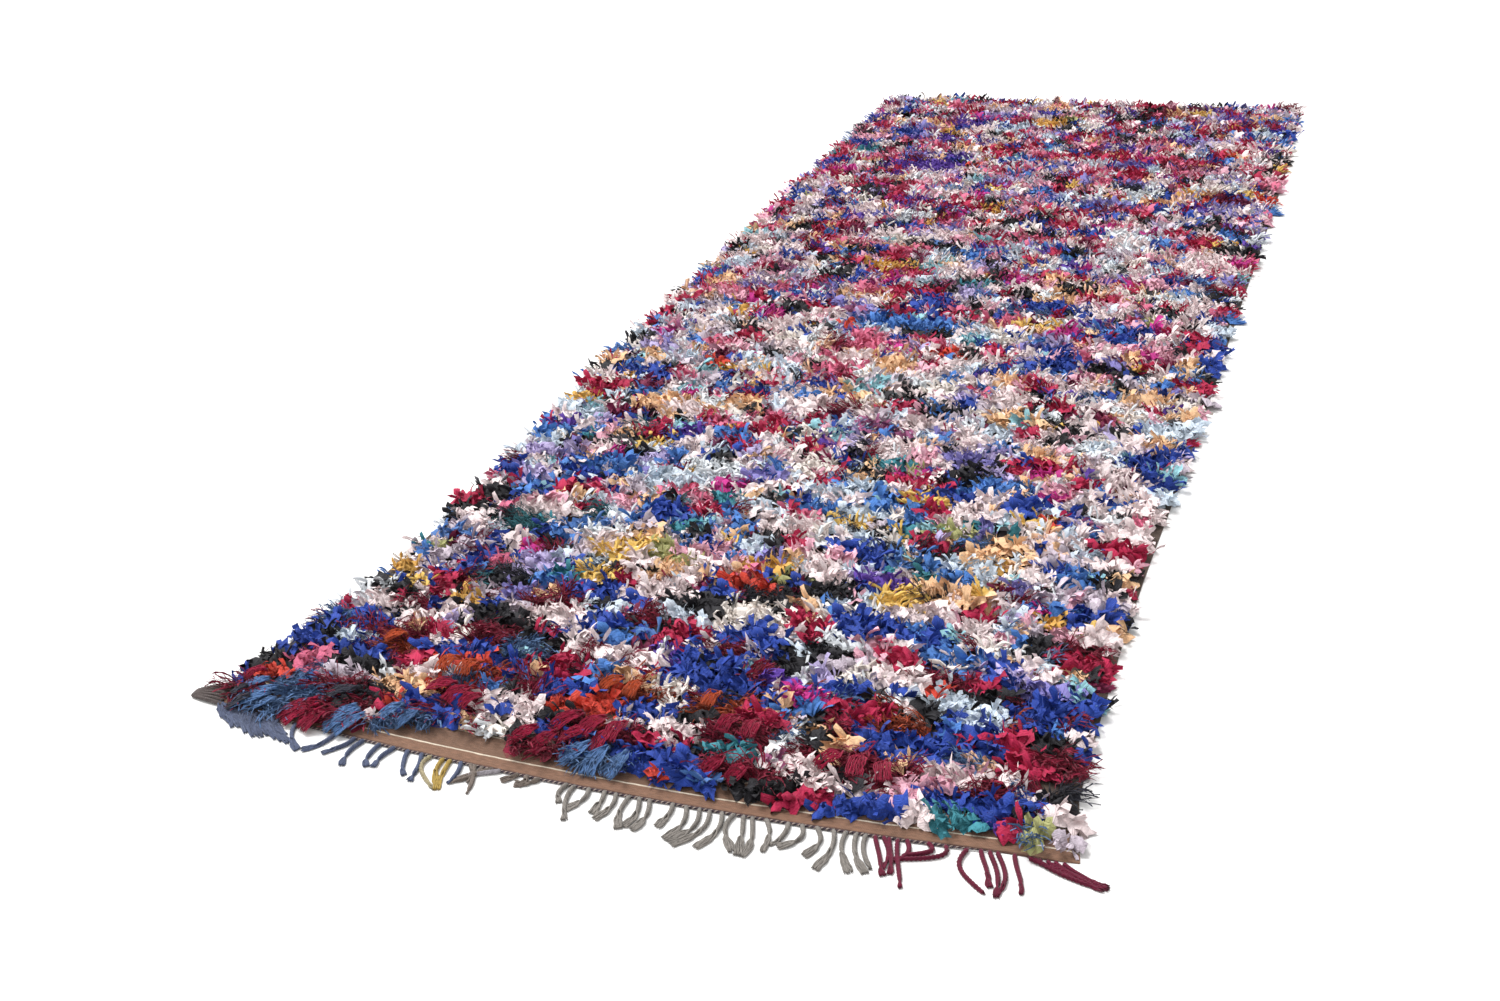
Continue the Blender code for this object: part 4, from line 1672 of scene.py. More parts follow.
    @staticmethod
    def _waver(recipe: Recipe, opened: Link) -> Link:
        """Lets a loose yarn wander off its line once its strand has opened.

        Args:
            recipe: the recipe that winds the yarns.
            opened: how far the strand has opened there.

        Returns:
            How far each point moves.
        """
        tree, own = recipe.tree, recipe.own
        seeded = add(tree, COMBINE, {0: own["cell"], 1: own["way"]})
        spaced = add(tree, VECTOR_MATHS, {0: seeded, 1: (7.31, 90.0, 1.0)}, operation="MULTIPLY")
        cloud = add(tree, NOISE, {"Vector": spaced, "Scale": 1.0, "Detail": 1.0}).outputs["Color"]
        centred = add(tree, VECTOR_MATHS, {0: cloud, 1: (0.5, 0.5, 0.5)}, operation="SUBTRACT")
        amount = add(tree, MATHS, {0: opened, 1: recipe.inputs["Fuzz"]}, operation="MULTIPLY")
        return add(tree, VECTOR_MATHS, {0: centred, "Scale": amount}, operation="SCALE")

    @staticmethod
    def _ring(recipe: Recipe) -> Link:
        """Draws a round section whose seam has two points, so that the map closes there.

        Args:
            recipe: the recipe that draws the yarns.

        Returns:
            The section's curve, of radius 1.
        """
        tree = recipe.tree
        line = add(tree, "GeometryNodeCurvePrimitiveLine", {"End": (1.0, 0.0, 0.0)})
        even = add(tree, "GeometryNodeResampleCurve", {"Curve": line, "Count": recipe.inputs["Sides"]})
        factor = add(tree, "GeometryNodeSplineParameter").outputs["Factor"]
        around = {"Geometry": even, "Name": "around", "Value": factor}
        marked = add(tree, STORE, around, data_type="FLOAT", domain="POINT")
        angle = add(tree, MATHS, {0: recipe.own["around"], 1: math.tau}, operation="MULTIPLY")
        x, y = (add(tree, MATHS, {0: angle}, operation=kind) for kind in ("COSINE", "SINE"))
        place = add(tree, COMBINE, {0: x, 1: y})
        return add(tree, "GeometryNodeSetPosition", {"Geometry": marked, "Position": place})

    def _cell(self, recipe: Recipe) -> Link:
        """Works out the place of a yarn's point in that yarn's cell.

        Args:
            recipe: the recipe that lays out the map.

        Returns:
            The point's place on the map.
        """
        tree, own, atlas = recipe.tree, recipe.own, self.atlas
        columns, rows = float(atlas.columns), float(atlas.rows)
        way = add(tree, MATHS, {0: own["way"], 1: atlas.margin}, operation="ADD")
        way = add(tree, MATHS, {0: way, 1: atlas.cell_length}, operation="DIVIDE")
        column = add(tree, MATHS, {0: own["cell"], 1: columns}, operation="MODULO")
        along = add(tree, MATHS, {0: column, 1: way}, operation="ADD")
        row = add(tree, MATHS, {0: own["cell"], 1: 0.01}, operation="ADD")
        row = add(tree, MATHS, {0: row, 1: columns}, operation="DIVIDE")
        row = add(tree, MATHS, {0: row}, operation="FLOOR")
        around = add(tree, MATHS, {0: own["around"], 1: 0.8, 2: 0.1}, operation="MULTIPLY_ADD")
        around = add(tree, MATHS, {0: around, 1: row}, operation="ADD")
        cell = add(tree, COMBINE, {0: along, 1: around})
        return add(tree, VECTOR_MATHS, {0: cell, 1: (columns, rows, 1.0)}, operation="DIVIDE")


@dataclass(frozen=True)
class Strand:
    """One strand of the fringe: where it leaves the cord, where its end lies from there, and its bow."""

    root: float
    drift: float
    reach: float
    bow: float = 0.0
    opening: float = 0.38
    spread: float = 12 * MM
    colour: str = ""


@dataclass(frozen=True)
class Tassels:
    """A run of the fringe in one colour of warp."""

    node: str
    colour: str
    strands: tuple[Strand, ...]


BLUE_GREY, MUSTARD, TAUPE, GREY, BURGUNDY = "525B76", "AC9048", "766A62", "847E78", "640F2E"
FRINGE = (
    Tassels(
        "fringe_blue_grey",
        BLUE_GREY,
        (
            Strand(0.056, 0.034, 0.026, 0.004, 0.06, 18 * MM),
            Strand(0.063, 0.052, 0.030, 0.006, 0.06, 22 * MM),
            Strand(0.070, 0.046, 0.034, -0.004, 0.06, 22 * MM),
            Strand(0.078, 0.058, 0.038, 0.002, 0.06, 24 * MM, "606982"),
            Strand(0.084, 0.040, 0.044, 0.004, 0.06, 22 * MM),
            Strand(0.092, 0.062, 0.042, -0.002, 0.06, 24 * MM, "485068"),
            Strand(0.098, 0.060, 0.034, -0.006, 0.06, 22 * MM),
            Strand(0.105, 0.052, 0.046, 0.004, 0.06, 24 * MM, "606982"),
            Strand(0.112, 0.044, 0.046, 0.004, 0.06, 22 * MM),
            Strand(0.122, 0.071, 0.041, 0.008, 0.08, 20 * MM),
            Strand(0.129, 0.056, 0.048, 0.000, 0.08, 20 * MM, "485068"),
            Strand(0.136, 0.036, 0.050, -0.004, 0.08, 18 * MM),
            Strand(0.146, 0.064, 0.044, 0.002, 0.10, 18 * MM),
            Strand(0.154, 0.060, 0.040, 0.006, 0.12, 16 * MM, "606982"),
            Strand(0.166, 0.054, 0.046, 0.002, 0.20, 14 * MM),
            Strand(0.180, 0.050, 0.048, -0.010),
            Strand(0.214, 0.041, 0.058, -0.006),
            Strand(0.286, -0.027, 0.051, 0.006),
            Strand(0.323, -0.030, 0.047, 0.004, 0.5, 10 * MM),
            Strand(0.340, 0.002, 0.064, -0.008, 0.5, 10 * MM),
            Strand(0.370, 0.009, 0.054, -0.006, 0.5, 10 * MM),
            Strand(0.396, -0.007, 0.051, -0.006, 0.5, 10 * MM),
            Strand(0.420, 0.025, 0.054, 0.0, 0.6, 10 * MM),
            Strand(0.444, 0.015, 0.063, 0.006, 0.6, 10 * MM),
        ),
    ),
    Tassels(
        "fringe_gold",
        MUSTARD,
        (
            Strand(0.462, 0.044, 0.068, -0.016, 0.7, 7 * MM, "A89C7C"),
            Strand(0.482, 0.026, 0.062, -0.004, 0.3, 10 * MM),
            Strand(0.494, 0.014, 0.068, 0.0, 0.3, 10 * MM),
        ),
    ),
    Tassels(
        "fringe_mixed",
        TAUPE,
        (
            Strand(0.512, 0.004, 0.050, 0.006, 0.7, 7 * MM, BLUE_GREY),
            Strand(0.528, 0.016, 0.040, 0.010, 0.6, 8 * MM),
            Strand(0.548, -0.030, 0.044, 0.008, 0.7, 8 * MM),
            Strand(0.566, -0.046, 0.040, -0.006, 0.7, 8 * MM),
            Strand(0.580, -0.060, 0.034, -0.010, 0.7, 8 * MM, "A09AA0"),
            Strand(0.536, 0.022, 0.062, 0.004, 0.7, 6 * MM),
            Strand(0.608, -0.020, 0.020, 0.0, 0.2, 12 * MM),
            Strand(0.622, -0.004, 0.024, 0.004, 0.2, 10 * MM),
            Strand(0.642, -0.030, 0.020, 0.004, 0.2, 12 * MM),
        ),
    ),
    Tassels(
        "fringe_grey",
        GREY,
        (
            Strand(0.688, 0.006, 0.040, -0.006, 0.5, 8 * MM),
            Strand(0.700, 0.020, 0.074, -0.006, 0.6, 9 * MM),
            Strand(0.722, -0.016, 0.052, 0.008),
            Strand(0.747, 0.001, 0.050, 0.004),
            Strand(0.764, -0.006, 0.060, 0.008),
            Strand(0.786, 0.013, 0.070, -0.004),
            Strand(0.800, 0.004, 0.064, 0.008),
            Strand(0.816, 0.000, 0.067, 0.010),
            Strand(0.851, -0.005, 0.052, 0.006),
            Strand(0.871, -0.005, 0.073, 0.012),
            Strand(0.891, -0.019, 0.075, 0.014),
            Strand(0.906, -0.024, 0.083, 0.014),
            Strand(0.924, -0.009, 0.080, 0.012),
            Strand(0.943, 0.026, 0.074, -0.010),
            Strand(0.956, 0.020, 0.080, 0.006),
            Strand(0.968, 0.014, 0.081, 0.010),
            Strand(0.988, 0.017, 0.065, 0.010, 0.3, 8 * MM),
            Strand(1.020, -0.010, 0.050, 0.006, 0.6, 7 * MM),
            Strand(1.039, -0.019, 0.052, 0.014),
            Strand(1.060, 0.000, 0.061, 0.014),
            Strand(1.083, 0.001, 0.084, 0.010),
            Strand(1.102, 0.030, 0.078, -0.006),
            Strand(1.116, 0.035, 0.074, -0.004),
            Strand(1.129, 0.028, 0.064, -0.004, 0.7, 6 * MM),
        ),
    ),
    Tassels(
        "fringe_burgundy",
        BURGUNDY,
        (
            Strand(1.141, 0.034, 0.074, 0.004, 0.6, 10 * MM),
            Strand(1.152, 0.016, 0.064, 0.010, 0.6, 8 * MM),
            Strand(1.160, 0.020, 0.070, 0.006, 0.6, 8 * MM),
            Strand(1.172, 0.029, 0.092, 0.004, 0.7, 7 * MM),
            Strand(1.184, -0.006, 0.046, 0.010, 0.9, 3 * MM),
            Strand(1.211, -0.027, 0.033, 0.018, 0.9, 3 * MM),
            Strand(1.234, -0.062, 0.046, 0.022, 0.9, 3 * MM),
            Strand(1.266, 0.042, 0.080, -0.016, 0.8, 5 * MM),
            Strand(1.282, 0.030, 0.068, 0.004, 0.5, 9 * MM),
            Strand(1.293, 0.030, 0.086, 0.010, 0.6, 9 * MM),
            Strand(1.303, 0.018, 0.082, 0.014, 0.6, 8 * MM),
            Strand(1.326, 0.027, 0.073, 0.004, 0.6, 6 * MM),
            Strand(1.343, 0.113, 0.026, -0.008, 0.7, 8 * MM),
            Strand(1.350, 0.104, 0.032, -0.006, 0.7, 8 * MM),
            Strand(1.358, 0.092, 0.036, -0.006, 0.7, 8 * MM),
            Strand(1.368, 0.088, 0.030, -0.004, 0.7, 8 * MM),
            Strand(1.378, 0.066, 0.036, 0.0, 0.7, 8 * MM),
            Strand(1.390, 0.054, 0.030, 0.0, 0.7, 8 * MM),
        ),
    ),
)


@dataclass
class Fringe:
    """The warp ends along the near end: plied necks that open into loose tassels on the floor."""

    outline: Outline
    neck_height: float = 3.4 * MM
    tassel_height: float = 1.8 * MM
    twist: float = 42.0
    steps: int = 14
    seed: int = 5

    def build(self) -> list[bpy.types.Object]:
        """Builds each run of the fringe as a piece of its own.

        Returns:
            The finished pieces.
        """
        yarns = TwistedYarns(
            yarns=9,
            points=17,
            sides=4,
            yarn_radius=1.35 * MM,
            coil_radius=2.5 * MM,
            fuzz=5.0 * MM,
            atlas=Atlas(columns=4, rows=64, cell_length=140 * MM, cell_width=8 * MM),
        )
        pieces = []
        for number, tassels in enumerate(FRINGE):
            rng = np.random.default_rng((self.seed, number))
            paths = [self._path(strand, tassels.colour, rng) for strand in tassels.strands]
            piece = yarns.build(f"{tassels.node}_yarns", paths, WARP_WOOL)
            dress(piece, tassels.node, (tassels.node,))
            pieces.append(piece)
        pieces.append(self.build_corner_tail(yarns))
        return pieces

    def _path(self, strand: Strand, colour: str, rng: np.random.Generator) -> YarnPath:
        """A strand's middle line, level on the floor, from under the twined cord to its end.

        Args:
            strand: the strand.
            colour: its run's colour.
            rng: the source of the draws.

        Returns:
            The middle line and how the yarns lie along it.
        """
        share = np.linspace(0.0, 1.0, self.steps)
        x = self.outline.corner_x + strand.root + strand.drift * share**1.4
        x = x + strand.bow * np.sin(share * math.pi)
        x += 1.2 * MM * np.sin(share * rng.uniform(4, 9) + rng.uniform(0, 6)) * share
        root_x = self.outline.corner_x + strand.root
        y = float(self.outline.near_y(root_x)) - 2 * MM - strand.reach * share ** rng.uniform(0.85, 1.1)
        z = self.neck_height + (self.tassel_height - self.neck_height) * np.clip(share * 1.4 - 0.3, 0, 1)
        return YarnPath(
            points=np.stack([x, y, z], 1),
            colour=strand.colour or colour,
            twist=self.twist * rng.uniform(0.85, 1.15),
            opening=strand.opening,
            spread=strand.spread,
            phase=rng.uniform(0, math.tau),
        )

    def build_corner_tail(self, yarns: TwistedYarns) -> bpy.types.Object:
        """The cords that run off the near left corner and meet in a point.

        Args:
            yarns: how the cords are wound.

        Returns:
            The finished piece.
        """
        share = np.linspace(0.0, 1.0, self.steps)
        rng = np.random.default_rng((self.seed, 99))
        paths = []
        for start_x, start_y, end_y in (
            (0.068, -0.007, 0.001),
            (0.062, 0.002, 0.003),
            (0.058, 0.011, 0.005),
            (0.056, 0.020, 0.007),
            (0.057, 0.029, 0.009),
            (0.060, 0.038, 0.011),
            (0.064, 0.047, 0.013),
        ):
            x = self.outline.corner_x + start_x + (-0.001 - start_x) * share
            y = self.outline.start + start_y + (end_y - start_y) * share**1.6
            z = np.full(self.steps, self.neck_height) + 1.5 * MM * np.sin(share * math.pi)
            phase = rng.uniform(0, math.tau)
            paths.append(YarnPath(np.stack([x, y, z], 1), colour="645A58", twist=60.0, phase=phase))
        piece = yarns.build("corner_tail_yarns", paths, WARP_WOOL)
        dress(piece, "corner_tail", ("corner_tail",))
        return piece


@dataclass
class TwinedEdge:
    """The hard cord twined along the near end: two dark plies and a pale one."""

    outline: Outline
    colours: tuple[str, ...] = ("3A2E36", "A8988E", "4A3C46")
    pitch: float = 8.0 * MM
    ply_radius: float = 1.15 * MM
    coil_radius: float = 0.95 * MM
    height: float = 2.3 * MM
    setting: float = 2.3 * MM
    waver: float = 0.9 * MM

    def build(self) -> bpy.types.Object:
        """Builds the cord along the near edge from corner to corner.

        Returns:
            The finished piece.
        """
        x = np.linspace(self.outline.near[0, 0], self.outline.near[-1, 0], 160)
        y = self.outline.near_y(x) - self.setting
        y = y + self.waver * np.array([noise.noise(Vector((place * 30, 0.0, 0.0))) for place in x])
        z = np.full(len(x), self.height)
        line = np.stack([x, y, z], 1)
        paths = [
            YarnPath(line, colour, twist=1 / self.pitch, phase=math.tau * place / len(self.colours))
            for place, colour in enumerate(self.colours)
        ]
        turns = (x[-1] - x[0]) / self.pitch
        yarns = TwistedYarns(
            yarns=1,
            points=round(turns * 5),
            sides=5,
            yarn_radius=self.ply_radius,
            coil_radius=self.coil_radius,
            fuzz=0.0,
            atlas=Atlas(columns=1, rows=3, cell_length=1450 * MM, cell_width=9 * MM),
        )
        piece = yarns.build("twined_cord", paths, TWINED_WOOL)
        dress(piece, "twined_edge", ("twined_edge",))
        return piece


@dataclass(frozen=True)
class Lock:
    """A long lock of pile wool that lies over the near end: its root, its way, its length and its dye."""

    x: float
    y: float
    heading: float
    length: float
    width: float
    dye: str


@dataclass
class WoolLocks:
    """The long wool locks that fall over the kilim end and over the pile near it."""

    outline: Outline
    root_height: float = 25 * MM
    end_height: float = 5 * MM
    root_lift: float = 3 * MM
    end_lift: float = 19 * MM
    arch: float = 2 * MM
    arch_on_pile: float = 9 * MM
    seed: int = 17
    locks: tuple[Lock, ...] = (
        Lock(0.151, 0.031, -164, 0.073, 0.026, "steel blue wool"),
        Lock(0.145, 0.018, -155, 0.070, 0.026, "steel blue wool"),
        Lock(0.122, 0.050, -149, 0.052, 0.022, "steel blue wool"),
        Lock(0.117, 0.004, -151, 0.044, 0.020, "charcoal wool"),
        Lock(0.165, 0.006, -160, 0.050, 0.020, "steel blue wool"),
        Lock(0.231, 0.026, -146, 0.074, 0.026, "burgundy wool"),
        Lock(0.242, 0.012, -148, 0.066, 0.024, "burgundy wool"),
        Lock(0.265, -0.006, -148, 0.044, 0.022, "burgundy wool"),
        Lock(0.252, 0.004, -140, 0.046, 0.022, "burgundy wool"),
        Lock(0.311, 0.018, -137, 0.064, 0.024, "steel blue wool"),
        Lock(0.325, 0.010, -134, 0.056, 0.024, "steel blue wool"),
        Lock(0.300, 0.026, -142, 0.052, 0.022, "steel blue wool"),
        Lock(0.280, 0.066, -150, 0.060, 0.024, "charcoal wool"),
        Lock(0.098, 0.024, -158, 0.040, 0.018, "charcoal wool"),
        Lock(0.105, 0.066, -166, 0.040, 0.018, "burgundy wool"),
        Lock(0.425, 0.118, -140, 0.052, 0.026, "burgundy wool"),
        Lock(0.455, 0.108, -128, 0.050, 0.026, "burgundy wool"),
        Lock(0.478, 0.098, -118, 0.044, 0.024, "burgundy wool"),
        Lock(0.655, 0.096, -128, 0.056, 0.028, "burgundy wool"),
        Lock(0.690, 0.098, -112, 0.056, 0.028, "burgundy wool"),
        Lock(0.725, 0.094, -104, 0.052, 0.026, "burgundy wool"),
        Lock(0.672, 0.070, -120, 0.050, 0.026, "burgundy wool"),
        Lock(0.708, 0.068, -100, 0.046, 0.024, "burgundy wool"),
        Lock(0.600, 0.052, -132, 0.052, 0.026, "burgundy wool"),
        Lock(0.632, 0.050, -118, 0.050, 0.026, "burgundy wool"),
        Lock(0.692, 0.040, -124, 0.056, 0.026, "steel blue wool"),
        Lock(0.722, 0.036, -112, 0.058, 0.026, "steel blue wool"),
        Lock(0.752, 0.034, -100, 0.052, 0.024, "steel blue wool"),
        Lock(0.372, 0.046, -138, 0.048, 0.024, "steel blue wool"),
        Lock(0.402, 0.042, -124, 0.046, 0.024, "steel blue wool"),
        Lock(0.895, 0.058, -118, 0.048, 0.026, "burgundy wool"),
        Lock(0.930, 0.056, -104, 0.046, 0.026, "burgundy wool"),
        Lock(0.880, 0.152, -112, 0.046, 0.026, "burgundy wool"),
        Lock(0.912, 0.150, -96, 0.044, 0.024, "burgundy wool"),
        Lock(1.055, 0.112, -120, 0.050, 0.026, "burgundy wool"),
        Lock(1.088, 0.114, -102, 0.050, 0.026, "burgundy wool"),
        Lock(1.120, 0.110, -88, 0.046, 0.024, "burgundy wool"),
        Lock(0.395, 0.180, -130, 0.044, 0.024, "rust wool"),
        Lock(0.425, 0.178, -112, 0.042, 0.024, "rust wool"),
        Lock(0.272, 0.220, -140, 0.042, 0.022, "rust wool"),
        Lock(0.672, 0.198, -122, 0.044, 0.024, "rust wool"),
        Lock(0.704, 0.196, -104, 0.042, 0.024, "rust wool"),
        Lock(0.832, 0.202, -110, 0.042, 0.024, "rust wool"),
    )

    def build(self) -> bpy.types.Object:
        """Builds the locks as one piece of the pile.

        Returns:
            The finished piece.
        """
        rng = np.random.default_rng(self.seed)
        colours = {dye.name: dye.colour for dye in DYES}
        share = np.linspace(0.0, 1.0, 8)
        paths = []
        for lock in self.locks:
            angle = math.radians(lock.heading) + 0.25 * (share - 0.5) * rng.normal()
            step = lock.length * share
            x = self.outline.corner_x + lock.x + np.cos(angle) * step
            y = self.outline.start + lock.y + np.sin(angle) * step
            on_pile = float(np.interp(lock.y, (0.03, 0.09), (0.0, 1.0)))
            root_height = self.root_height + self.root_lift * on_pile
            end_height = self.end_height + self.end_lift * on_pile
            arch = self.arch + (self.arch_on_pile - self.arch) * on_pile
            z = root_height + (end_height - root_height) * share**1.3 + arch * np.sin(share * 3.1)
            paths.append(
                YarnPath(
                    points=np.stack([x, y, z], 1),
                    colour=colours[lock.dye],
                    twist=6.0,
                    opening=0.0,
                    spread=lock.width,
                    phase=rng.uniform(0, 6),
                )
            )
        yarns = TwistedYarns(
            yarns=18,
            points=10,
            sides=4,
            yarn_radius=0.95 * MM,
            coil_radius=3.5 * MM,
            fuzz=9.0 * MM,
            atlas=Atlas(columns=4, rows=70, cell_length=90 * MM, cell_width=7 * MM),
        )
        piece = yarns.build("wool_locks", paths, PILE_WOOL)
        dress(piece, "pile", ("pile",))
        return piece


@dataclass(frozen=True)
class Band:
    """A stripe of weft in the kilim end, between two distances from the near edge, in millimetres."""

    start: float
    end: float
    colour: str


@dataclass(frozen=True)
class FlatWeave:
    """A finish for weft-faced flat weave: stripes of weft, ribbed by the warp beneath."""

    name: str
    weft: str
    bands: tuple[Band, ...]
    rib_mm: float
    roughness: float

    def material(self) -> bpy.types.Material:
        """The flat weave's material, from each point's place on the cloth in millimetres.

        Returns:
            A Principled material that reads the weave attribute.
        """
        made, tree, shader = new_material(self.name)
        cloth = add(tree, "ShaderNodeAttribute", attribute_name="weave").outputs["Vector"]
        wander = add(tree, NOISE, {"Vector": cloth, "Scale": 0.03, "Detail": 2.0})
        wander = add(tree, MATHS, {0: wander, 1: 0.5}, operation="SUBTRACT")
        inward = add(tree, SEPARATE, {0: cloth}).outputs[1]
        inward = add(tree, MATHS, {0: wander, 1: 4.0, 2: inward}, operation="MULTIPLY_ADD")
        colour: Any = linear(self.weft)
        for band in self.bands:
            low, high = band.start - 0.5, band.start + 0.5
            begun = add(tree, MAP_RANGE, {"Value": inward, "From Min": low, "From Max": high})
            low, high = band.end + 0.5, band.end - 0.5
            left = add(tree, MAP_RANGE, {"Value": inward, "From Min": low, "From Max": high})
            inside = add(tree, MATHS, {0: begun, 1: left}, operation="MULTIPLY")
            colour = add(
                tree, "ShaderNodeMix", {0: inside, 6: colour, 7: linear(band.colour)}, data_type="RGBA"
            ).outputs[2]
        stretched = add(tree, VECTOR_MATHS, {0: cloth, 1: (0.12, 1.0, 1.0)}, operation="MULTIPLY")
        yarns = add(tree, NOISE, {"Vector": stretched, "Scale": 1 / self.rib_mm, "Detail": 4.0})
        tone = add(
            tree,
            MAP_RANGE,
            {"Value": yarns, "From Min": 0.3, "From Max": 0.7, "To Min": 0.66, "To Max": 1.22},
        )
        coloured = add(tree, VECTOR_MATHS, {0: colour, "Scale": tone}, operation="SCALE")
        turn = (math.tau / (2.2 * self.rib_mm), math.tau / self.rib_mm, 0.0)
        waves = add(tree, VECTOR_MATHS, {0: cloth, 1: turn}, operation="MULTIPLY")
        waves = add(tree, VECTOR_MATHS, {0: waves}, operation="SINE")
        split = add(tree, SEPARATE, {0: waves})
        weave = add(tree, MATHS, {0: split.outputs[0], 1: split.outputs[1]}, operation="MULTIPLY")
        height = add(tree, MATHS, {0: yarns, 1: 2.0, 2: weave}, operation="MULTIPLY_ADD")
        relief = {"Height": height, "Strength": 0.8, "Distance": 0.25 * MM}
        finish = {
            "Base Color": coloured,
            "Roughness": self.roughness,
            "Sheen Weight": 0.2,
            "Specular IOR Level": 0.25,
            "Normal": add(tree, "ShaderNodeBump", relief),
        }
        fill(tree, shader, finish)
        return made


# Hand-spun brown wool beaten down over the warp: matt, ribbed and streaked, with two cream lines, and
# darker under the pile as painted shade between the tufts.
BROWN_KILIM = FlatWeave(
    name="weft_faced_brown_wool",
    # The weft outside the bands, under the pile, is darker than the bare end: painted shade between the
    # tufts.
    weft="4E3E34",
    bands=(
        Band(-5.0, 2.5, "6A4C40"),
        Band(2.5, 23.0, "866450"),
        Band(23.0, 26.0, "DCCEBA"),
        Band(26.0, 66.0, "7A5C4A"),
        Band(66.0, 69.0, "DCCEBA"),
    ),
    rib_mm=1.5,
    roughness=0.92,
)


@dataclass
class Ground:
    """The flat-woven ground: one sheet under the whole shag, bare and ribbed at its near end."""

    outline: Outline
    band: float = 74 * MM
    rib: float = 2.4 * MM
    rib_height: float = 0.5 * MM
    cockle: float = 0.8 * MM
    trough: float = 0.3 * MM
    hidden: float = 0.1 * MM
    underside: float = 0.15 * MM
    columns: int = 60
    far_rows: int = 60

    def build(self) -> bpy.types.Object:
        """Builds the sheet as a closed thin slab with a place on the cloth for each point.

        Returns:
            The finished piece.
        """
        near = np.arange(0.0, self.band, self.rib / 2)
        far = np.linspace(0.0, 1.0, self.far_rows + 1)
        across = np.linspace(0.0, 1.0, self.columns + 1)
        rows = []
        for place, inward in enumerate(near):
            left, right = self.outline.sides(self.outline.start + inward)
            x = left + across * (right - left)
            y = self.outline.near_y(x) + inward
            z = GROUND_TOP - self.trough + self.rib_height * (place % 2) + self._cockle(x, inward)
            rows.append(np.stack([x, y, z, np.full(len(x), inward)], 1))
        for share in far:
            y_middle = self.outline.start + self.band + share * (self.outline.length - self.band)
            left, right = self.outline.sides(y_middle)
            x = left + across * (right - left)
            begin = self.outline.near_y(x) + self.band
            y = begin + share * (self.outline.far_y(x) - begin)
            inward = y - self.outline.near_y(x)
            rows.append(np.stack([x, y, np.full(len(x), GROUND_TOP - self.hidden), inward], 1))
        grid = np.array(rows)
        grid[:, (0, -1), 2] = GROUND_TOP * 0.6
        grid[(0, -1), :, 2] = GROUND_TOP * 0.6
        return self._slab(grid)

    def _cockle(self, x: np.ndarray, inward: float) -> np.ndarray:
        """The slight lift of the bare end where it has stretched."""
        waves = [noise.noise(Vector((place * 14, inward * 10, 0.0))) for place in x]
        return self.cockle * np.array([max(0.0, wave) for wave in waves])

    def _slab(self, grid: np.ndarray) -> bpy.types.Object:
        """Closes the top sheet with an underside and walls, and dresses it.

        Args:
            grid: rows of points with their x, y, z and way in from the near edge.

        Returns:
            The finished piece.
        """
        rows, columns = grid.shape[:2]
        top = grid[..., :3].reshape(-1, 3)
        under = top.copy()
        under[:, 2] = self.underside
        count = rows * columns
        number = np.arange(count).reshape(rows, columns)
        corners = [number[:-1, :-1], number[:-1, 1:], number[1:, 1:], number[1:, :-1]]
        quads = np.stack(corners, -1).reshape(-1, 4)
        rim = np.concatenate([number[0, :-1], number[:-1, -1], number[-1, :0:-1], number[:0:-1, 0]])
        walls = np.stack([rim, rim + count, np.roll(rim, -1) + count, np.roll(rim, -1)], 1)
        faces = np.concatenate([quads, quads[:, ::-1] + count, walls])
        mesh = bpy.data.meshes.new("kilim_ground")
        mesh.from_pydata(np.concatenate([top, under]).tolist(), [], faces.tolist())
        weave = mesh.attributes.new("weave", "FLOAT_VECTOR", "POINT")
        places = np.stack([grid[..., 0] / MM, grid[..., 3] / MM, np.zeros((rows, columns))], -1)
        places = places.reshape(-1, 3)
        weave.data.foreach_set("vector", np.concatenate([places, places]).astype(np.float32).ravel())
        mesh.materials.append(BROWN_KILIM.material())
        mesh.validate()
        piece = set_out("kilim_ground", mesh)
        dress(piece, "ground", ("ground",))
        return piece


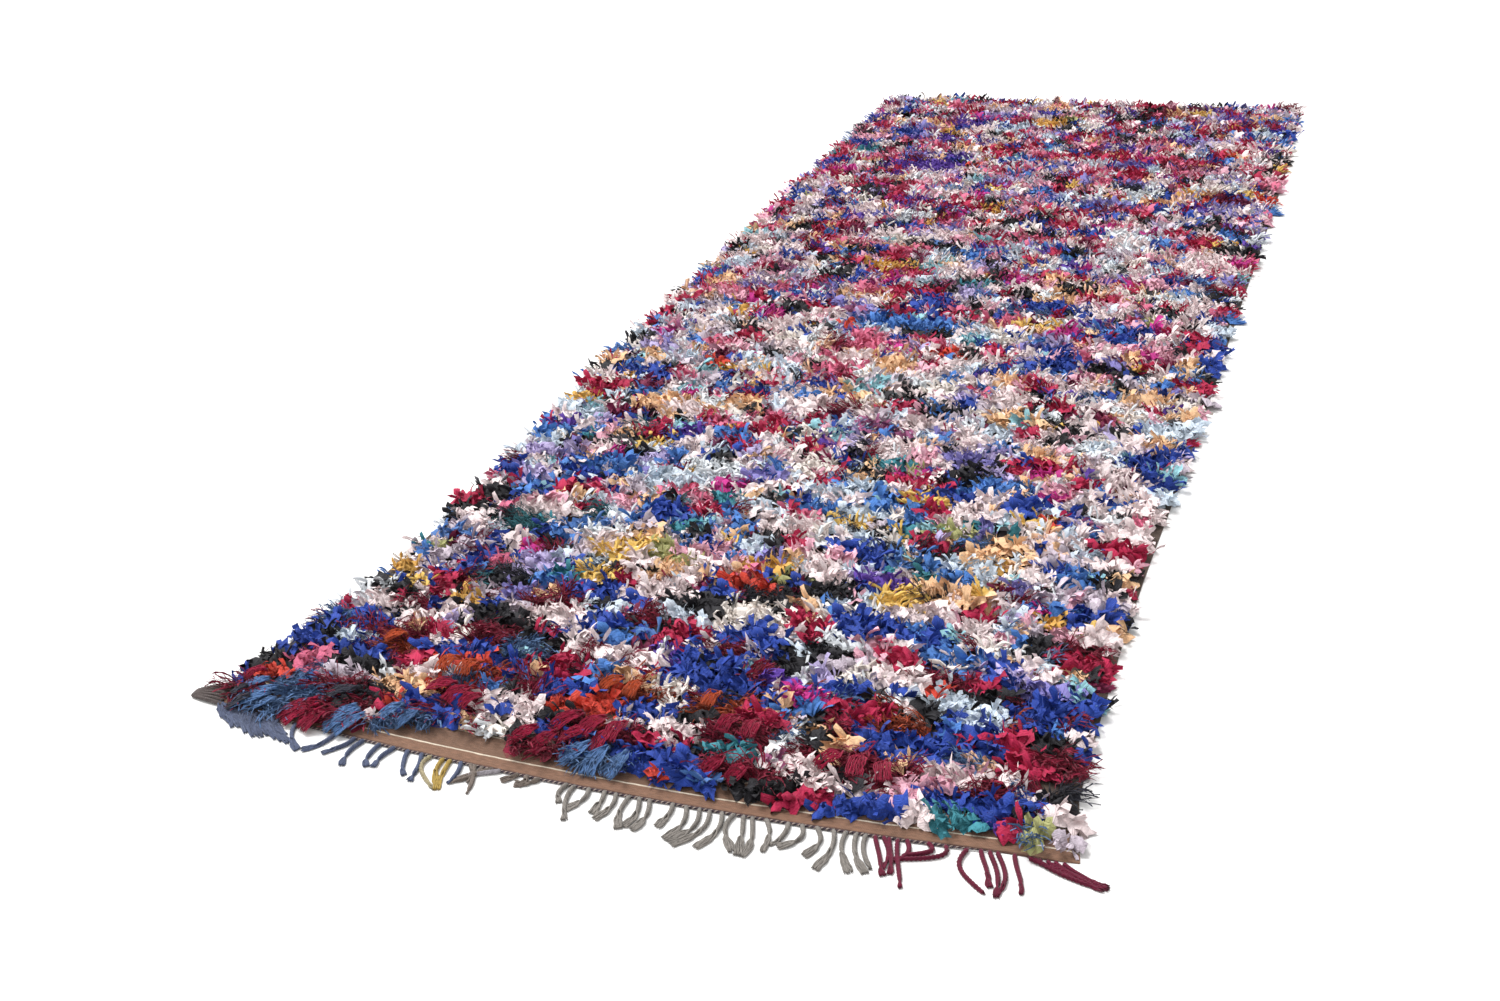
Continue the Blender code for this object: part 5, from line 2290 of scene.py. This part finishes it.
@dataclass(frozen=True)
class Viewpoint:
    """The photograph's camera: its place from the near left corner, its turn and its lens."""

    place: tuple[float, float, float] = (1.6935, -1.6573, 1.4325)
    turn: tuple[float, float, float] = (62.08, 3.85, 21.04)
    lens: float = 39.31
    sensor: float = 36.0

    def set_up(self, outline: Outline) -> bpy.types.Object:
        """Adds the camera and makes it the scene's own.

        Args:
            outline: the ground's outline.

        Returns:
            The camera.
        """
        data = bpy.data.cameras.new("camera")
        data.lens = self.lens
        data.sensor_width = self.sensor
        data.clip_end = 60.0
        camera = set_out("camera", data)
        x, y, z = self.place
        camera.location = (x + outline.corner_x, y + outline.start, z)
        camera.rotation_euler = [math.radians(angle) for angle in self.turn]
        bpy.context.scene.camera = camera
        return camera


@dataclass(frozen=True)
class Studio:
    """A plain pale floor and soft light from all round, brighter from above and behind."""

    floor_size: float = 40.0
    floor_colour: str = "F4F3F2"
    sky: float = 0.72
    key_power: float = 3.8
    key_from: tuple[float, float, float] = (-1.6, 1.0, 2.6)
    key_softness: float = 0.55

    def set_up(self) -> None:
        """Adds the floor, the light and the surroundings."""
        bm = bmesh.new()
        bmesh.ops.create_grid(bm, x_segments=1, y_segments=1, size=self.floor_size / 2)
        mesh = bpy.data.meshes.new("studio_floor")
        bm.to_mesh(mesh)
        bm.free()
        floor = set_out("studio_floor", mesh)
        floor.location.z = -0.0002
        mesh.materials.append(self._floor_material())
        floor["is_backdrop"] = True
        world = bpy.data.worlds.new("studio")
        world.use_nodes = True
        world.node_tree.nodes["Background"].inputs["Color"].default_value = (1.0, 1.0, 1.0, 1.0)
        world.node_tree.nodes["Background"].inputs["Strength"].default_value = self.sky
        bpy.context.scene.world = world
        light = bpy.data.lights.new("soft_key", "SUN")
        light.energy = self.key_power
        light.angle = self.key_softness
        key = set_out("soft_key", light)
        key.location = self.key_from
        key.rotation_euler = (-Vector(self.key_from)).to_track_quat("-Z", "Y").to_euler()
        bpy.context.scene.view_settings.view_transform = "Standard"

    def _floor_material(self) -> bpy.types.Material:
        """Matt white paper.

        Returns:
            The floor's material.
        """
        made, tree, shader = new_material("matt_white_paper")
        fill(tree, shader, {"Base Color": linear(self.floor_colour), "Roughness": 0.9})
        return made


def main() -> None:
    """Builds the rug's looks piece by piece and reports each one."""
    logging.basicConfig(level=logging.INFO, format="%(message)s")
    solid_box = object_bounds()
    outline = Outline.of_ground(frame["nodes"]["ground"])
    Viewpoint().set_up(outline)
    Studio().set_up()
    Ground(outline).build()
    TwinedEdge(outline).build()
    Fringe(outline).build()
    WoolLocks(outline).build()
    Shag(outline).build()
    boxes = {"solids": solid_box, "visual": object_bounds()}
    {name: [list(corner) for corner in box] for name, box in boxes.items()}


if __name__ == "__main__":
    main()
